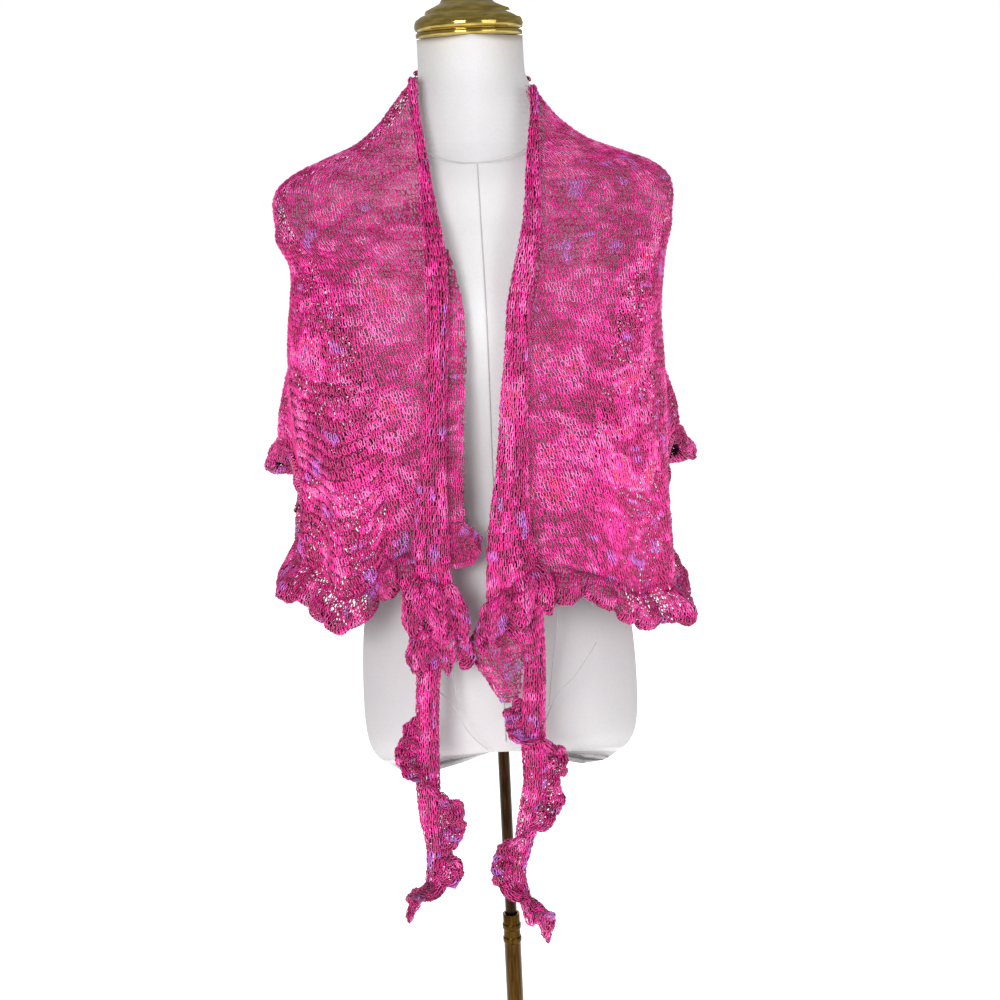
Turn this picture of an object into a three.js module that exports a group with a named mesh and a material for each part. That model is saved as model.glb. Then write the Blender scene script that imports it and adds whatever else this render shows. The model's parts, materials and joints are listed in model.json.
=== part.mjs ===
// An open knitted wrap with tie ends and a ruffled edge, lying on a limbless dress form on a pole stand.
// Millimetres, +Z up, the front faces -Y. The origin is on the floor, under the middle of the pole.
import * as THREE from 'three';

// Cloth
const WALL = 2;              // thickness of the knit
const SEAM = 0.3;            // space between two pieces that are joined at an edge
const RIDE = 1.1;            // space between the knit and the form that it rests on
const SIDE_ANGLE = 95;       // where a front meets the back, from the centre front
const REST_FROM = 1262;      // below this height the cloth hangs clear of the form
const REST_FULL = 1306;      // above this height it rests on the form

// Stand
const POLE_RADIUS = 6.5;
const TUBE_RADIUS = 9.5;
const TUBE_BORE = 6.9;
const TUBE_TOP = 505;
const COLLAR_RINGS = [474, 490];
const POLE_FOOT = 205;       // lower end of the inner pole, inside the tube
const SOCKET_RADIUS = 13;    // flange at the pole's top, under the form
const BASE_RADIUS = 160;
const BOSS_TOP = 34;
const SEAT_RADIUS = 16;      // flat patch of the form round the pole
const CROTCH = 722;          // underside of the form at the pole
const NECK_TOP = 1460;
const NECK_FROM = 1300;      // the neck column is part of the form above this height
const NECK_RADIUS = 53;
const NECK_RISE = 50;        // height over which the column takes its full radius
const NECK_BLEND = 6;        // the more, the sharper the line between neck and shoulder
const BODY_POWER = 2.4;      // 2 is an ellipse, more is squarer

const ROUND_SIDES = 24;
const POLE_SIDES = 16;
const FORM_SIDES = 40;

// Half width, front depth and back depth of the form, from the underside to the neck.
// arch lifts the ring between the two thigh stumps.
const ARCH_WIDTH = 34;
const FORM_RINGS = [
  { z: 689, side: 117, front: 58, back: 70, arch: 29 },
  { z: 700, side: 137, front: 78, back: 90, arch: 20 },
  { z: 728, side: 148, front: 93, back: 105, arch: 5 },
  { z: 790, side: 149, front: 99, back: 113, arch: 0 },
  { z: 850, side: 144, front: 96, back: 108, arch: 0 },
  { z: 905, side: 133, front: 90, back: 97, arch: 0 },
  { z: 960, side: 117, front: 82, back: 84, arch: 0 },
  { z: 1005, side: 109, front: 80, back: 77, arch: 0 },
  { z: 1060, side: 115, front: 88, back: 80, arch: 0 },
  { z: 1120, side: 127, front: 104, back: 89, arch: 0 },
  { z: 1165, side: 138, front: 115, back: 96, arch: 0 },
  { z: 1200, side: 148, front: 117, back: 100, arch: 0 },
  { z: 1230, side: 163, front: 106, back: 101, arch: 0 },
  { z: 1262, side: 184, front: 92, back: 99, arch: 0 },
  { z: 1286, side: 197, front: 82, back: 95, arch: 0 },
  { z: 1304, side: 199, front: 74, back: 89, arch: 0 },
  { z: 1317, side: 193, front: 67, back: 82, arch: 0 },
  { z: 1328, side: 178, front: 60, back: 74, arch: 0 },
  { z: 1338, side: 153, front: 54, back: 65, arch: 0 },
  { z: 1352, side: 117, front: 47, back: 56, arch: 0 },
  { z: 1372, side: 88, front: 40, back: 46, arch: 0 },
  { z: 1384, side: 76, front: 35, back: 41, arch: 0 },
  { z: 1399, side: 63, front: 31, back: 36, arch: 0 },
  { z: 1410, side: 53, front: 29, back: 33, arch: 0 },
  { z: 1428, side: 38, front: 24, back: 27, arch: 0 },
  { z: 1460, side: 33, front: 22, back: 24, arch: 0 },
];

// Half widths and depths of the hanging cloth where it is clear of the form.
const CLOTH_RINGS = [
  { z: 860, left: 200, right: 186, front: 117, back: 134 },
  { z: 935, left: 199, right: 185, front: 115, back: 126 },
  { z: 1000, left: 196, right: 184, front: 114, back: 117 },
  { z: 1040, left: 199, right: 186, front: 115, back: 113 },
  { z: 1084, left: 203, right: 188, front: 117, back: 111 },
  { z: 1130, left: 205, right: 187, front: 120, back: 112 },
  { z: 1170, left: 203, right: 185, front: 123, back: 112 },
  { z: 1205, left: 198, right: 187, front: 123, back: 114 },
  { z: 1240, left: 196, right: 192, front: 114, back: 113 },
  { z: 1270, left: 210, right: 200, front: 101, back: 107 },
  { z: 1306, left: 212, right: 205, front: 84, back: 97 },
];

// How far the cloth stands off the form's left shoulder, where it bridges from the neck.
const SHOULDER_LIFT = [
  { z: 1262, lift: 6 },
  { z: 1304, lift: 8 },
  { z: 1328, lift: 5 },
  { z: 1352, lift: 6 },
  { z: 1384, lift: 9 },
  { z: 1405, lift: 7 },
  { z: 1428, lift: 0 },
];
const LIFT_ANGLE = -92;
const LIFT_WIDTH = 42;

// Folds of the hanging cloth: where each lies round the body, its width and depth, and where it starts.
// A minus angle is to the left of the centre front, seen from the front. A minus depth is a trough.
const FOLDS = [
  { angle: -111, width: 10, depth: 40, from: 1180, full: 1040 },
  { angle: -84, width: 8, depth: 4, from: 990, full: 925 },
  { angle: -78, width: 9, depth: 7, from: 1080, full: 950 },
  { angle: -62, width: 8, depth: -8, from: 1120, full: 950 },
  { angle: -50, width: 8, depth: 7, from: 1150, full: 930 },
  { angle: -38, width: 5, depth: -13, from: 1080, full: 940 },
  { angle: -29, width: 4, depth: 3, from: 1050, full: 950 },
  { angle: 40, width: 7, depth: 5, from: 1100, full: 930 },
  { angle: 56, width: 7, depth: -7, from: 1060, full: 900 },
  { angle: 70, width: 8, depth: 7, from: 1100, full: 920 },
  { angle: 82, width: 8, depth: 4, from: 960, full: 880 },
  { angle: 111, width: 10, depth: 36, from: 1160, full: 1040 },
  { angle: -134, width: 9, depth: -9, from: 1180, full: 1000 },
  { angle: -150, width: 9, depth: 10, from: 1200, full: 980 },
  { angle: -166, width: 9, depth: -8, from: 1160, full: 960 },
  { angle: 180, width: 10, depth: 9, from: 1180, full: 960 },
  { angle: 165, width: 9, depth: -9, from: 1150, full: 960 },
  { angle: 149, width: 9, depth: 10, from: 1200, full: 980 },
  { angle: 134, width: 9, depth: -8, from: 1180, full: 1000 },
];

// Height of the knit's lower edge, above its ruffle, round the body.
const HEM_LEFT = [
  { angle: 18, z: 958 },
  { angle: 26, z: 954 },
  { angle: 33, z: 941 },
  { angle: 40, z: 914 },
  { angle: 48, z: 904 },
  { angle: 57, z: 914 },
  { angle: 70, z: 927 },
  { angle: 88, z: 934 },
  { angle: 93, z: 956 },
  { angle: 97, z: 1016 },
  { angle: 101, z: 1044 },
  { angle: 107, z: 1048 },
  { angle: 118, z: 1050 },
  { angle: 140, z: 1004 },
  { angle: 162, z: 934 },
  { angle: 180, z: 908 },
  { angle: 198, z: 934 },
];
const HEM_RIGHT = [
  { angle: 16, z: 932 },
  { angle: 24, z: 926 },
  { angle: 32, z: 917 },
  { angle: 40, z: 902 },
  { angle: 48, z: 888 },
  { angle: 62, z: 884 },
  { angle: 78, z: 884 },
  { angle: 88, z: 898 },
  { angle: 93, z: 928 },
  { angle: 97, z: 1000 },
  { angle: 101, z: 1034 },
  { angle: 107, z: 1038 },
  { angle: 118, z: 1040 },
  { angle: 140, z: 998 },
  { angle: 162, z: 934 },
  { angle: 180, z: 908 },
  { angle: 198, z: 934 },
];

// Height of the knit's upper edge round the neck. Angles go on from the right over the back to the left.
const NECK_EDGE = [
  { angle: 0, z: 1410 },
  { angle: 100, z: 1410 },
  { angle: 180, z: 1428 },
  { angle: 260, z: 1423 },
  { angle: 360, z: 1423 },
];

// Where the hem's ruffle flares out more, seen from above, and by how much at its lower edge.
const FLARES = [
  { angle: -108, width: 10, out: 30 },
  { angle: -97, width: 4, out: -14 },
  { angle: -82, width: 11, out: 19 },
  { angle: 77, width: 10, out: 12 },
  { angle: 97, width: 4, out: -14 },
  { angle: 108, width: 10, out: 34 },
];

// The curled front edges: distance of the middle from the centre, width across and depth, by height.
const ROLL_LEFT = [
  { z: 888, x: -62, width: 42, depth: 17 },
  { z: 939, x: -66, width: 40, depth: 17 },
  { z: 974, x: -64, width: 37, depth: 16 },
  { z: 1032, x: -60, width: 29, depth: 15 },
  { z: 1111, x: -53, width: 24, depth: 14 },
  { z: 1192, x: -47, width: 23, depth: 13 },
  { z: 1250, x: -46, width: 22, depth: 12 },
  { z: 1304, x: -51, width: 16, depth: 11 },
  { z: 1350, x: -53, width: 11, depth: 10 },
  { z: 1397, x: -56, width: 10, depth: 9 },
  { z: 1422, x: -54, width: 9, depth: 9 },
];
const ROLL_RIGHT = [
  { z: 908, x: 14, width: 58, depth: 17 },
  { z: 930, x: 14, width: 56, depth: 17 },
  { z: 967, x: 13, width: 47, depth: 16 },
  { z: 1026, x: 17, width: 35, depth: 15 },
  { z: 1105, x: 23, width: 28, depth: 14 },
  { z: 1165, x: 28, width: 25, depth: 13 },
  { z: 1204, x: 32, width: 24, depth: 13 },
  { z: 1258, x: 44, width: 21, depth: 12 },
  { z: 1301, x: 52, width: 17, depth: 11 },
  { z: 1352, x: 55, width: 13, depth: 10 },
  { z: 1390, x: 56, width: 10, depth: 9 },
  { z: 1409, x: 54, width: 9, depth: 9 },
];
const ROLL_TILT_LEFT = 0;    // how much lower the roll's end is at the opening than at its outer side
const ROLL_TILT_RIGHT = 40;
const TILT_REACH = 70;       // the tilt fades out over this height
const ROLL_GAP = 1.7;        // a roll lies this far in front of its panel
const ROLL_OPEN = 40;        // angle that the curl leaves open

// The strip beside the left roll: where its free edge runs.
const INNER_EDGE = [
  { z: 985, x: -31 },
  { z: 1030, x: -30 },
  { z: 1077, x: -27 },
  { z: 1123, x: -24 },
  { z: 1175, x: -21 },
  { z: 1205, x: -23 },
  { z: 1232, x: -28 },
  { z: 1256, x: -34 },
];

// The tie ends below the rolls: middle, width and depth by height.
const TIE_LEFT = [
  { z: 580, x: -90, y: -116, width: 12, depth: 11 },
  { z: 606, x: -83, y: -116, width: 17, depth: 12 },
  { z: 640, x: -79, y: -117, width: 20, depth: 13 },
  { z: 675, x: -82, y: -118, width: 24, depth: 14 },
  { z: 715, x: -83, y: -119, width: 26, depth: 15 },
  { z: 770, x: -80, y: -120, width: 25, depth: 15 },
  { z: 832, x: -76, y: -122, width: 26, depth: 16 },
  { z: 868, x: -70, y: -124, width: 32, depth: 17 },
  { z: 888, x: -62, y: -124, width: 42, depth: 17 },
];
const TIE_RIGHT = [
  { z: 546, x: 18, y: -116, width: 12, depth: 11 },
  { z: 572, x: 13, y: -116, width: 15, depth: 11 },
  { z: 605, x: 6, y: -117, width: 17, depth: 12 },
  { z: 637, x: 13, y: -117, width: 20, depth: 13 },
  { z: 670, x: 19, y: -118, width: 22, depth: 14 },
  { z: 708, x: 28, y: -119, width: 27, depth: 15 },
  { z: 752, x: 28, y: -120, width: 27, depth: 15 },
  { z: 795, x: 30, y: -121, width: 25, depth: 15 },
  { z: 842, x: 32, y: -123, width: 24, depth: 16 },
  { z: 875, x: 27, y: -125, width: 34, depth: 17 },
  { z: 908, x: 14, y: -125, width: 58, depth: 17 },
];

// The frill round each roll's lower end. Angles go round the roll: 0 is its right, 90 its front.
// top is a height, tilt is how much lower the left side is, reach is how far the edge stands out.
const FRILLS = [
  { name: 'left_upper', side: 'left', from: 168, to: -8, top: 924, tilt: -14, drop: 50, reach: 8, waves: 4 },
  { name: 'left_lower', side: 'left', from: 176, to: -20, top: 864, tilt: 4, drop: 28, reach: 9, waves: 4 },
  { name: 'right', side: 'right', from: 158, to: 12, top: 920, tilt: 40, drop: 38, reach: 8, waves: 4 },
];

// The drape that hangs from the right roll's inner corner: its frilled left edge and its right edge.
const DRAPE = [
  { z: 794, left: -5, right: 15, fold: 3 },
  { z: 808, left: -11, right: 17, fold: 8 },
  { z: 824, left: -21, right: 20.2, fold: 13 },
  { z: 838, left: -28, right: 20, fold: 17 },
  { z: 852, left: -34, right: 16, fold: 17 },
  { z: 863, left: -29, right: 11, fold: 16 },
];

// The ruffle that winds down a tie end: 0 is its right side, 90 its front, 180 its left side.
const TIE_WIND_LEFT = [
  { z: 583, angle: 168, width: 26 },
  { z: 596, angle: 130, width: 18 },
  { z: 612, angle: 50, width: 15 },
  { z: 632, angle: 40, width: 14 },
  { z: 672, angle: 10, width: 20 },
  { z: 696, angle: 60, width: 8 },
  { z: 742, angle: 170, width: 19 },
  { z: 772, angle: 186, width: 7 },
  { z: 815, angle: 200, width: 4 },
];
const TIE_WIND_RIGHT = [
  { z: 549, angle: 0, width: 14 },
  { z: 574, angle: 25, width: 24 },
  { z: 596, angle: 130, width: 14 },
  { z: 612, angle: 178, width: 20 },
  { z: 640, angle: 140, width: 8 },
  { z: 674, angle: 20, width: 20 },
  { z: 704, angle: 8, width: 19 },
  { z: 728, angle: 80, width: 8 },
  { z: 752, angle: 172, width: 18 },
  { z: 790, angle: 196, width: 5 },
];

// Ruffles: depth of the edging, size and spacing of its waves.
const RUFFLE_DEPTH = 38;
const RUFFLE_WAVE = 8.5;
const RUFFLE_SIDEWAYS = 2.6;
const RUFFLE_FLARE = 5;      // how far its lower edge stands out where no row of FLARES adds to it
const RUFFLE_LEAN = 0.35;    // 0 hangs straight down, 1 stands square to the hem
const RUFFLE_UNEVEN = 0.22;
const COLUMNS_PER_WAVE = 5;

const CLOTH_PINK = 0xd92b7d;
const CLOTH_DEEP = 0xb01a62;
const CANVAS_WHITE = 0xeeebe6;
const BRASS_GOLD = 0xa8893a;
const BRONZE_BROWN = 0x5d4626;

const rad = (degrees) => degrees * Math.PI / 180;
const mix = (a, b, t) => a + (b - a) * t;
const ease = (t) => {
  const c = Math.min(1, Math.max(0, t));
  return c * c * (3 - 2 * c);
};

// A column of a table, read smoothly between its rows.
function along(table, key, at, column) {
  const last = table.length - 1;
  if (at <= table[0][key]) return table[0][column];
  if (at >= table[last][key]) return table[last][column];
  let i = 0;
  while (at > table[i + 1][key]) i += 1;
  const before = table[Math.max(0, i - 1)];
  const after = table[Math.min(last, i + 2)];
  const [p, q] = [table[i], table[i + 1]];
  const span = q[key] - p[key];
  const t = (at - p[key]) / span;
  const slopeIn = (q[column] - before[column]) / (q[key] - before[key]) * span;
  const slopeOut = (after[column] - p[column]) / (after[key] - p[key]) * span;
  const t2 = t * t;
  const t3 = t2 * t;
  return (2 * t3 - 3 * t2 + 1) * p[column] + (t3 - 2 * t2 + t) * slopeIn
    + (3 * t2 - 2 * t3) * q[column] + (t3 - t2) * slopeOut;
}

// A point of a rounded plan section, at an angle from the centre front.
function sectionPoint(angle, side, front, back, power) {
  const s = Math.sin(rad(angle));
  const c = Math.cos(rad(angle));
  const scale = (Math.abs(s) ** power + Math.abs(c) ** power) ** (-1 / power);
  return [side * s * scale, -(c > 0 ? front : back) * c * scale];
}

// The form: a rounded section, joined softly with the neck column.
function formPoint(angle, z) {
  const side = along(FORM_RINGS, 'z', z, 'side');
  const front = along(FORM_RINGS, 'z', z, 'front');
  const back = along(FORM_RINGS, 'z', z, 'back');
  let [x, y] = sectionPoint(angle, side, front, back, BODY_POWER);
  const neck = NECK_RADIUS * ease((z - NECK_FROM) / NECK_RISE);
  const reach = Math.hypot(x, y);
  const joined = (reach ** NECK_BLEND + neck ** NECK_BLEND) ** (1 / NECK_BLEND);
  x *= joined / reach;
  y *= joined / reach;
  return new THREE.Vector3(x, y, z);
}

function normalOf(surface, a, z) {
  const across = surface(a + 1, z).sub(surface(a - 1, z));
  const up = surface(a, z + 1).sub(surface(a, z - 1));
  return across.cross(up).normalize();
}

// The middle of the knit, at an angle from the centre front and a height.
function clothPoint(angle, z) {
  const left = Math.sin(rad(angle)) < 0;
  const side = along(CLOTH_RINGS, 'z', z, left ? 'left' : 'right');
  const front = along(CLOTH_RINGS, 'z', z, 'front');
  const back = along(CLOTH_RINGS, 'z', z, 'back');
  const [x, y] = sectionPoint(angle, side, front, back, BODY_POWER);
  const hung = new THREE.Vector3(x, y, z);
  const outward = new THREE.Vector3(x / side ** 2, y / front ** 2, 0).normalize();
  for (const fold of FOLDS) {
    let off = angle - fold.angle;
    off -= 360 * Math.round(off / 360);
    const reach = ease((fold.from - z) / (fold.from - fold.full));
    hung.addScaledVector(outward, fold.depth * reach * Math.exp(-((off / fold.width) ** 2)));
  }
  const resting = ease((z - REST_FROM) / (REST_FULL - REST_FROM));
  if (resting === 0) return hung;
  const turn = angle - LIFT_ANGLE - 360 * Math.round((angle - LIFT_ANGLE) / 360);
  const lift = along(SHOULDER_LIFT, 'z', z, 'lift') * Math.exp(-((turn / LIFT_WIDTH) ** 2));
  const laid = formPoint(angle, z).addScaledVector(normalOf(formPoint, angle, z), RIDE + WALL / 2 + lift);
  return hung.lerp(laid, resting);
}

// The angle at which the cloth passes a given distance from the centre.
function angleAt(x, z) {
  let low = 0;
  let high = 90 * Math.sign(x);
  for (let i = 0; i < 24; i += 1) {
    const middle = (low + high) / 2;
    if (Math.abs(clothPoint(middle, z).x) < Math.abs(x)) low = middle;
    else high = middle;
  }
  return (low + high) / 2;
}

// A closed wall of even thickness through a grid of points. past lets its end columns take their slope
// from the points just beyond them, as on a ruffle that its neighbour carries on.
function wall(columns, rows, point, past = false) {
  const count = columns + 1;
  const at = (i, j) => {
    const column = past ? i : Math.min(columns, Math.max(0, i));
    return point(column / columns, Math.min(rows, Math.max(0, j)) / rows);
  };
  const positions = [];
  for (const face of [1, -1]) {
    for (let i = 0; i < count; i += 1) {
      for (let j = 0; j <= rows; j += 1) {
        const across = at(i + 1, j).sub(at(i - 1, j));
        const down = at(i, j + 1).sub(at(i, j - 1));
        const normal = across.cross(down).normalize();
        positions.push(at(i, j).addScaledVector(normal, face * WALL / 2));
      }
    }
  }
  const index = [];
  const quad = (a, b, c, d) => index.push(a, b, c, a, c, d);
  const place = (face, i, j) => (face * count + i) * (rows + 1) + j;
  for (let i = 0; i < columns; i += 1) {
    for (let j = 0; j < rows; j += 1) {
      quad(place(0, i, j), place(0, i + 1, j), place(0, i + 1, j + 1), place(0, i, j + 1));
      quad(place(1, i, j), place(1, i, j + 1), place(1, i + 1, j + 1), place(1, i + 1, j));
    }
    quad(place(0, i, 0), place(1, i, 0), place(1, i + 1, 0), place(0, i + 1, 0));
    quad(place(0, i, rows), place(0, i + 1, rows), place(1, i + 1, rows), place(1, i, rows));
  }
  for (let j = 0; j < rows; j += 1) {
    quad(place(0, 0, j), place(0, 0, j + 1), place(1, 0, j + 1), place(1, 0, j));
    quad(place(0, columns, j), place(1, columns, j), place(1, columns, j + 1), place(0, columns, j + 1));
  }
  return solid(positions, index);
}

// A closed mesh from points and triangles, with its faces pointing out.
function solid(positions, index) {
  let volume = 0;
  for (let i = 0; i < index.length; i += 3) {
    const [a, b, c] = [positions[index[i]], positions[index[i + 1]], positions[index[i + 2]]];
    volume += a.dot(b.clone().cross(c));
  }
  if (volume < 0) {
    for (let i = 0; i < index.length; i += 3) {
      [index[i + 1], index[i + 2]] = [index[i + 2], index[i + 1]];
    }
  }
  const geometry = new THREE.BufferGeometry();
  geometry.setAttribute('position', new THREE.Float32BufferAttribute(positions.flatMap((p) => p.toArray()), 3));
  geometry.setIndex(index);
  geometry.computeVertexNormals();
  return geometry;
}

const finishes = {
  knit: () => new THREE.MeshStandardMaterial({ color: CLOTH_PINK, roughness: 0.7, side: THREE.DoubleSide }),
  ruffle: () => new THREE.MeshStandardMaterial({ color: CLOTH_DEEP, roughness: 0.75, side: THREE.DoubleSide }),
  canvas: () => new THREE.MeshStandardMaterial({ color: CANVAS_WHITE, roughness: 0.85 }),
  brass: () => new THREE.MeshStandardMaterial({ color: BRASS_GOLD, roughness: 0.2, metalness: 1 }),
  bronze: () => new THREE.MeshStandardMaterial({ color: BRONZE_BROWN, roughness: 0.35, metalness: 1 }),
};

const standGroup = new THREE.Group();
const formGroup = new THREE.Group();
const clothGroup = new THREE.Group();

function add(group, name, geometry, finish) {
  const mesh = new THREE.Mesh(geometry, finishes[finish]());
  mesh.name = name;
  group.add(mesh);
}

// Turned pieces: a profile of radius and height, spun round the pole.
function turned(profile, sides = ROUND_SIDES) {
  const points = profile.map(([radius, z]) => new THREE.Vector2(radius, z));
  const geometry = new THREE.LatheGeometry(points, sides);
  geometry.rotateX(Math.PI / 2);
  return geometry;
}

function makeStand() {
  add(standGroup, 'stand_base', turned([
    [0, 0], [BASE_RADIUS, 0], [BASE_RADIUS, 7], [BASE_RADIUS - 8, 12], [60, 18],
    [28, 24], [21, BOSS_TOP], [0, BOSS_TOP],
  ]), 'bronze');
  const tubeFoot = BOSS_TOP + SEAM;
  const collar = COLLAR_RINGS.flatMap((z) => [
    [TUBE_RADIUS, z - 3.7], [TUBE_RADIUS + 1, z - 2.2], [TUBE_RADIUS + 1, z + 2.2], [TUBE_RADIUS, z + 3.7],
  ]);
  add(standGroup, 'pole_lower', turned([
    [TUBE_BORE, tubeFoot], [TUBE_RADIUS, tubeFoot], ...collar, [TUBE_RADIUS, TUBE_TOP], [TUBE_BORE, TUBE_TOP],
    [TUBE_BORE, tubeFoot],
  ], POLE_SIDES), 'bronze');
}

// The form's body: its rings, closed underneath round the pole and on top under the cap.
function makeForm() {
  const positions = [new THREE.Vector3(0, 0, CROTCH)];
  const ring = (at) => {
    for (let i = 0; i < FORM_SIDES; i += 1) positions.push(at(360 * i / FORM_SIDES));
  };
  const flat = (angle) => [SEAT_RADIUS * Math.sin(rad(angle)), -SEAT_RADIUS * Math.cos(rad(angle))];
  ring((angle) => new THREE.Vector3(...flat(angle), CROTCH));
  for (const row of FORM_RINGS) {
    ring((angle) => {
      const point = formPoint(angle, row.z);
      point.z += row.arch * Math.exp(-((point.x / ARCH_WIDTH) ** 2));
      return point;
    });
  }
  const rings = FORM_RINGS.length + 1;
  positions.push(new THREE.Vector3(0, 0, NECK_TOP));
  const index = [];
  const place = (k, i) => 1 + k * FORM_SIDES + (i % FORM_SIDES);
  for (let i = 0; i < FORM_SIDES; i += 1) {
    index.push(0, place(0, i + 1), place(0, i));
    for (let k = 0; k + 1 < rings; k += 1) {
      index.push(place(k, i), place(k, i + 1), place(k + 1, i + 1));
      index.push(place(k, i), place(k + 1, i + 1), place(k + 1, i));
    }
    index.push(positions.length - 1, place(rings - 1, i), place(rings - 1, i + 1));
  }
  add(formGroup, 'form_body', solid(positions, index), 'canvas');

  add(formGroup, 'neck_cap', turned([
    [0, NECK_TOP + SEAM], [54, NECK_TOP + SEAM], [54.6, 1464], [52.6, 1466.5], [55.6, 1470], [54, 1478],
    [45, 1483.5], [43, 1487.5], [28, 1495], [26.5, 1498], [18.5, 1499.5], [17.5, 1507], [12, 1514], [0, 1516],
  ]), 'brass');
  add(formGroup, 'pole_upper', turned([
    [0, POLE_FOOT], [POLE_RADIUS, POLE_FOOT], [POLE_RADIUS, CROTCH - 6], [SOCKET_RADIUS, CROTCH - 5],
    [SOCKET_RADIUS, CROTCH - SEAM], [0, CROTCH - SEAM],
  ], POLE_SIDES), 'bronze');
}

// Heights of a panel's rows: fixed where it rests on the form, then even down to its hem.
const RESTING_ROWS = [1399, 1384, 1372, 1352, 1338, 1328, 1317, 1304, 1286, 1262];
const HANGING_ROWS = 7;
const PANEL_ROWS = RESTING_ROWS.length + HANGING_ROWS;

const neckEdge = (angle) => along(NECK_EDGE, 'angle', (angle + 360) % 360, 'z');

function rowHeight(share, angle, hem) {
  const row = Math.round(share * PANEL_ROWS);
  if (row === 0) return neckEdge(angle);
  if (row <= RESTING_ROWS.length) return RESTING_ROWS[row - 1];
  return mix(REST_FROM, hem, (row - RESTING_ROWS.length) / HANGING_ROWS);
}

const HEM_ROLL_HEIGHT = 930; // where a roll passes the hem of its front
const ROLL_OVERLAP = 0.6;
const FRONT_COLUMNS = 17;
const BACK_COLUMNS = 28;

const SEAM_ANGLE = 0.12;     // half a seam at the side, as an angle

// A point of a front, from under its roll to the side. side is -1 for the left, seen from the front.
function frontPoint(side, s, t) {
  const hems = side < 0 ? HEM_LEFT : HEM_RIGHT;
  const roll = side < 0 ? ROLL_LEFT : ROLL_RIGHT;
  const hemStart = side * angleAt(along(roll, 'z', HEM_ROLL_HEIGHT, 'x'), HEM_ROLL_HEIGHT);
  const hem = along(hems, 'angle', mix(hemStart, SIDE_ANGLE, s), 'z');
  const z = rowHeight(t, side * SIDE_ANGLE, hem);
  const start = angleAt(along(roll, 'z', z, 'x') - ROLL_OVERLAP * side, z);
  return clothPoint(mix(start, side * (SIDE_ANGLE - SEAM_ANGLE), s), z);
}

// A point of the back, going round behind from the right side to the left.
function backPoint(s, t) {
  const angle = mix(SIDE_ANGLE + SEAM_ANGLE, 360 - SIDE_ANGLE - SEAM_ANGLE, s);
  const hem = angle < 180 ? along(HEM_RIGHT, 'angle', angle, 'z') : along(HEM_LEFT, 'angle', 360 - angle, 'z');
  return clothPoint(angle, rowHeight(t, angle, hem));
}

// The frame of a roll at a height: its middle, the way across it and the way out from the body.
function rollFrame(table, z) {
  const x = along(table, 'z', z, 'x');
  const angle = angleAt(x, z);
  const out = normalOf(clothPoint, angle, z);
  out.z = 0;
  out.normalize();
  const across = new THREE.Vector3(-out.y, out.x, 0);
  const depth = along(table, 'z', z, 'depth');
  const middle = clothPoint(angle, z).addScaledVector(out, WALL / 2 + ROLL_GAP + depth / 2);
  return { middle, across, out, width: along(table, 'z', z, 'width'), depth };
}

// The frame of a tie end at a height. It hangs straight, so its section is level.
function tieFrame(table, z) {
  const middle = new THREE.Vector3(along(table, 'z', z, 'x'), along(table, 'z', z, 'y'), z);
  return {
    middle,
    across: new THREE.Vector3(1, 0, 0),
    out: new THREE.Vector3(0, -1, 0),
    width: along(table, 'z', z, 'width'),
    depth: along(table, 'z', z, 'depth'),
  };
}

// A point round a frame's oval, a distance outside the cloth's own middle.
function ovalPoint(frame, angle, outside = -WALL / 2) {
  return frame.middle.clone()
    .addScaledVector(frame.across, (frame.width / 2 + outside) * Math.cos(rad(angle)))
    .addScaledVector(frame.out, (frame.depth / 2 + outside) * Math.sin(rad(angle)));
}

const CURL_COLUMNS = 8;

// A curled edge: an open curl, its slit towards the body, from one height down to another.
function curl(frameAt, top, bottom, rows, tilt) {
  return wall(CURL_COLUMNS, rows, (s, t) => {
    const z = mix(top, bottom, t);
    const angle = mix(-90 + ROLL_OPEN / 2, 270 - ROLL_OPEN / 2, s);
    const point = ovalPoint(frameAt(z), angle);
    point.z += tilt(z) * Math.cos(rad(angle)) / 2;
    return point;
  });
}

const tables = {
  left: { roll: ROLL_LEFT, tie: TIE_LEFT, tilt: ROLL_TILT_LEFT, wind: TIE_WIND_LEFT },
  right: { roll: ROLL_RIGHT, tie: TIE_RIGHT, tilt: ROLL_TILT_RIGHT, wind: TIE_WIND_RIGHT },
};

const ROLL_ROWS = 16;
const TIE_ROWS = 15;
const TIE_SEAM = 0.9;
const TIP_DROP = 14;         // how far the ruffle hangs below the end of a tie
const TIE_WAVE_PITCH = 21;
const TIE_WAVE_MOST = 6;     // sideways swing of the ruffle's waves, at most
const TIE_WAVE_SHARE = 0.35; // and as a share of its width

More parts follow.
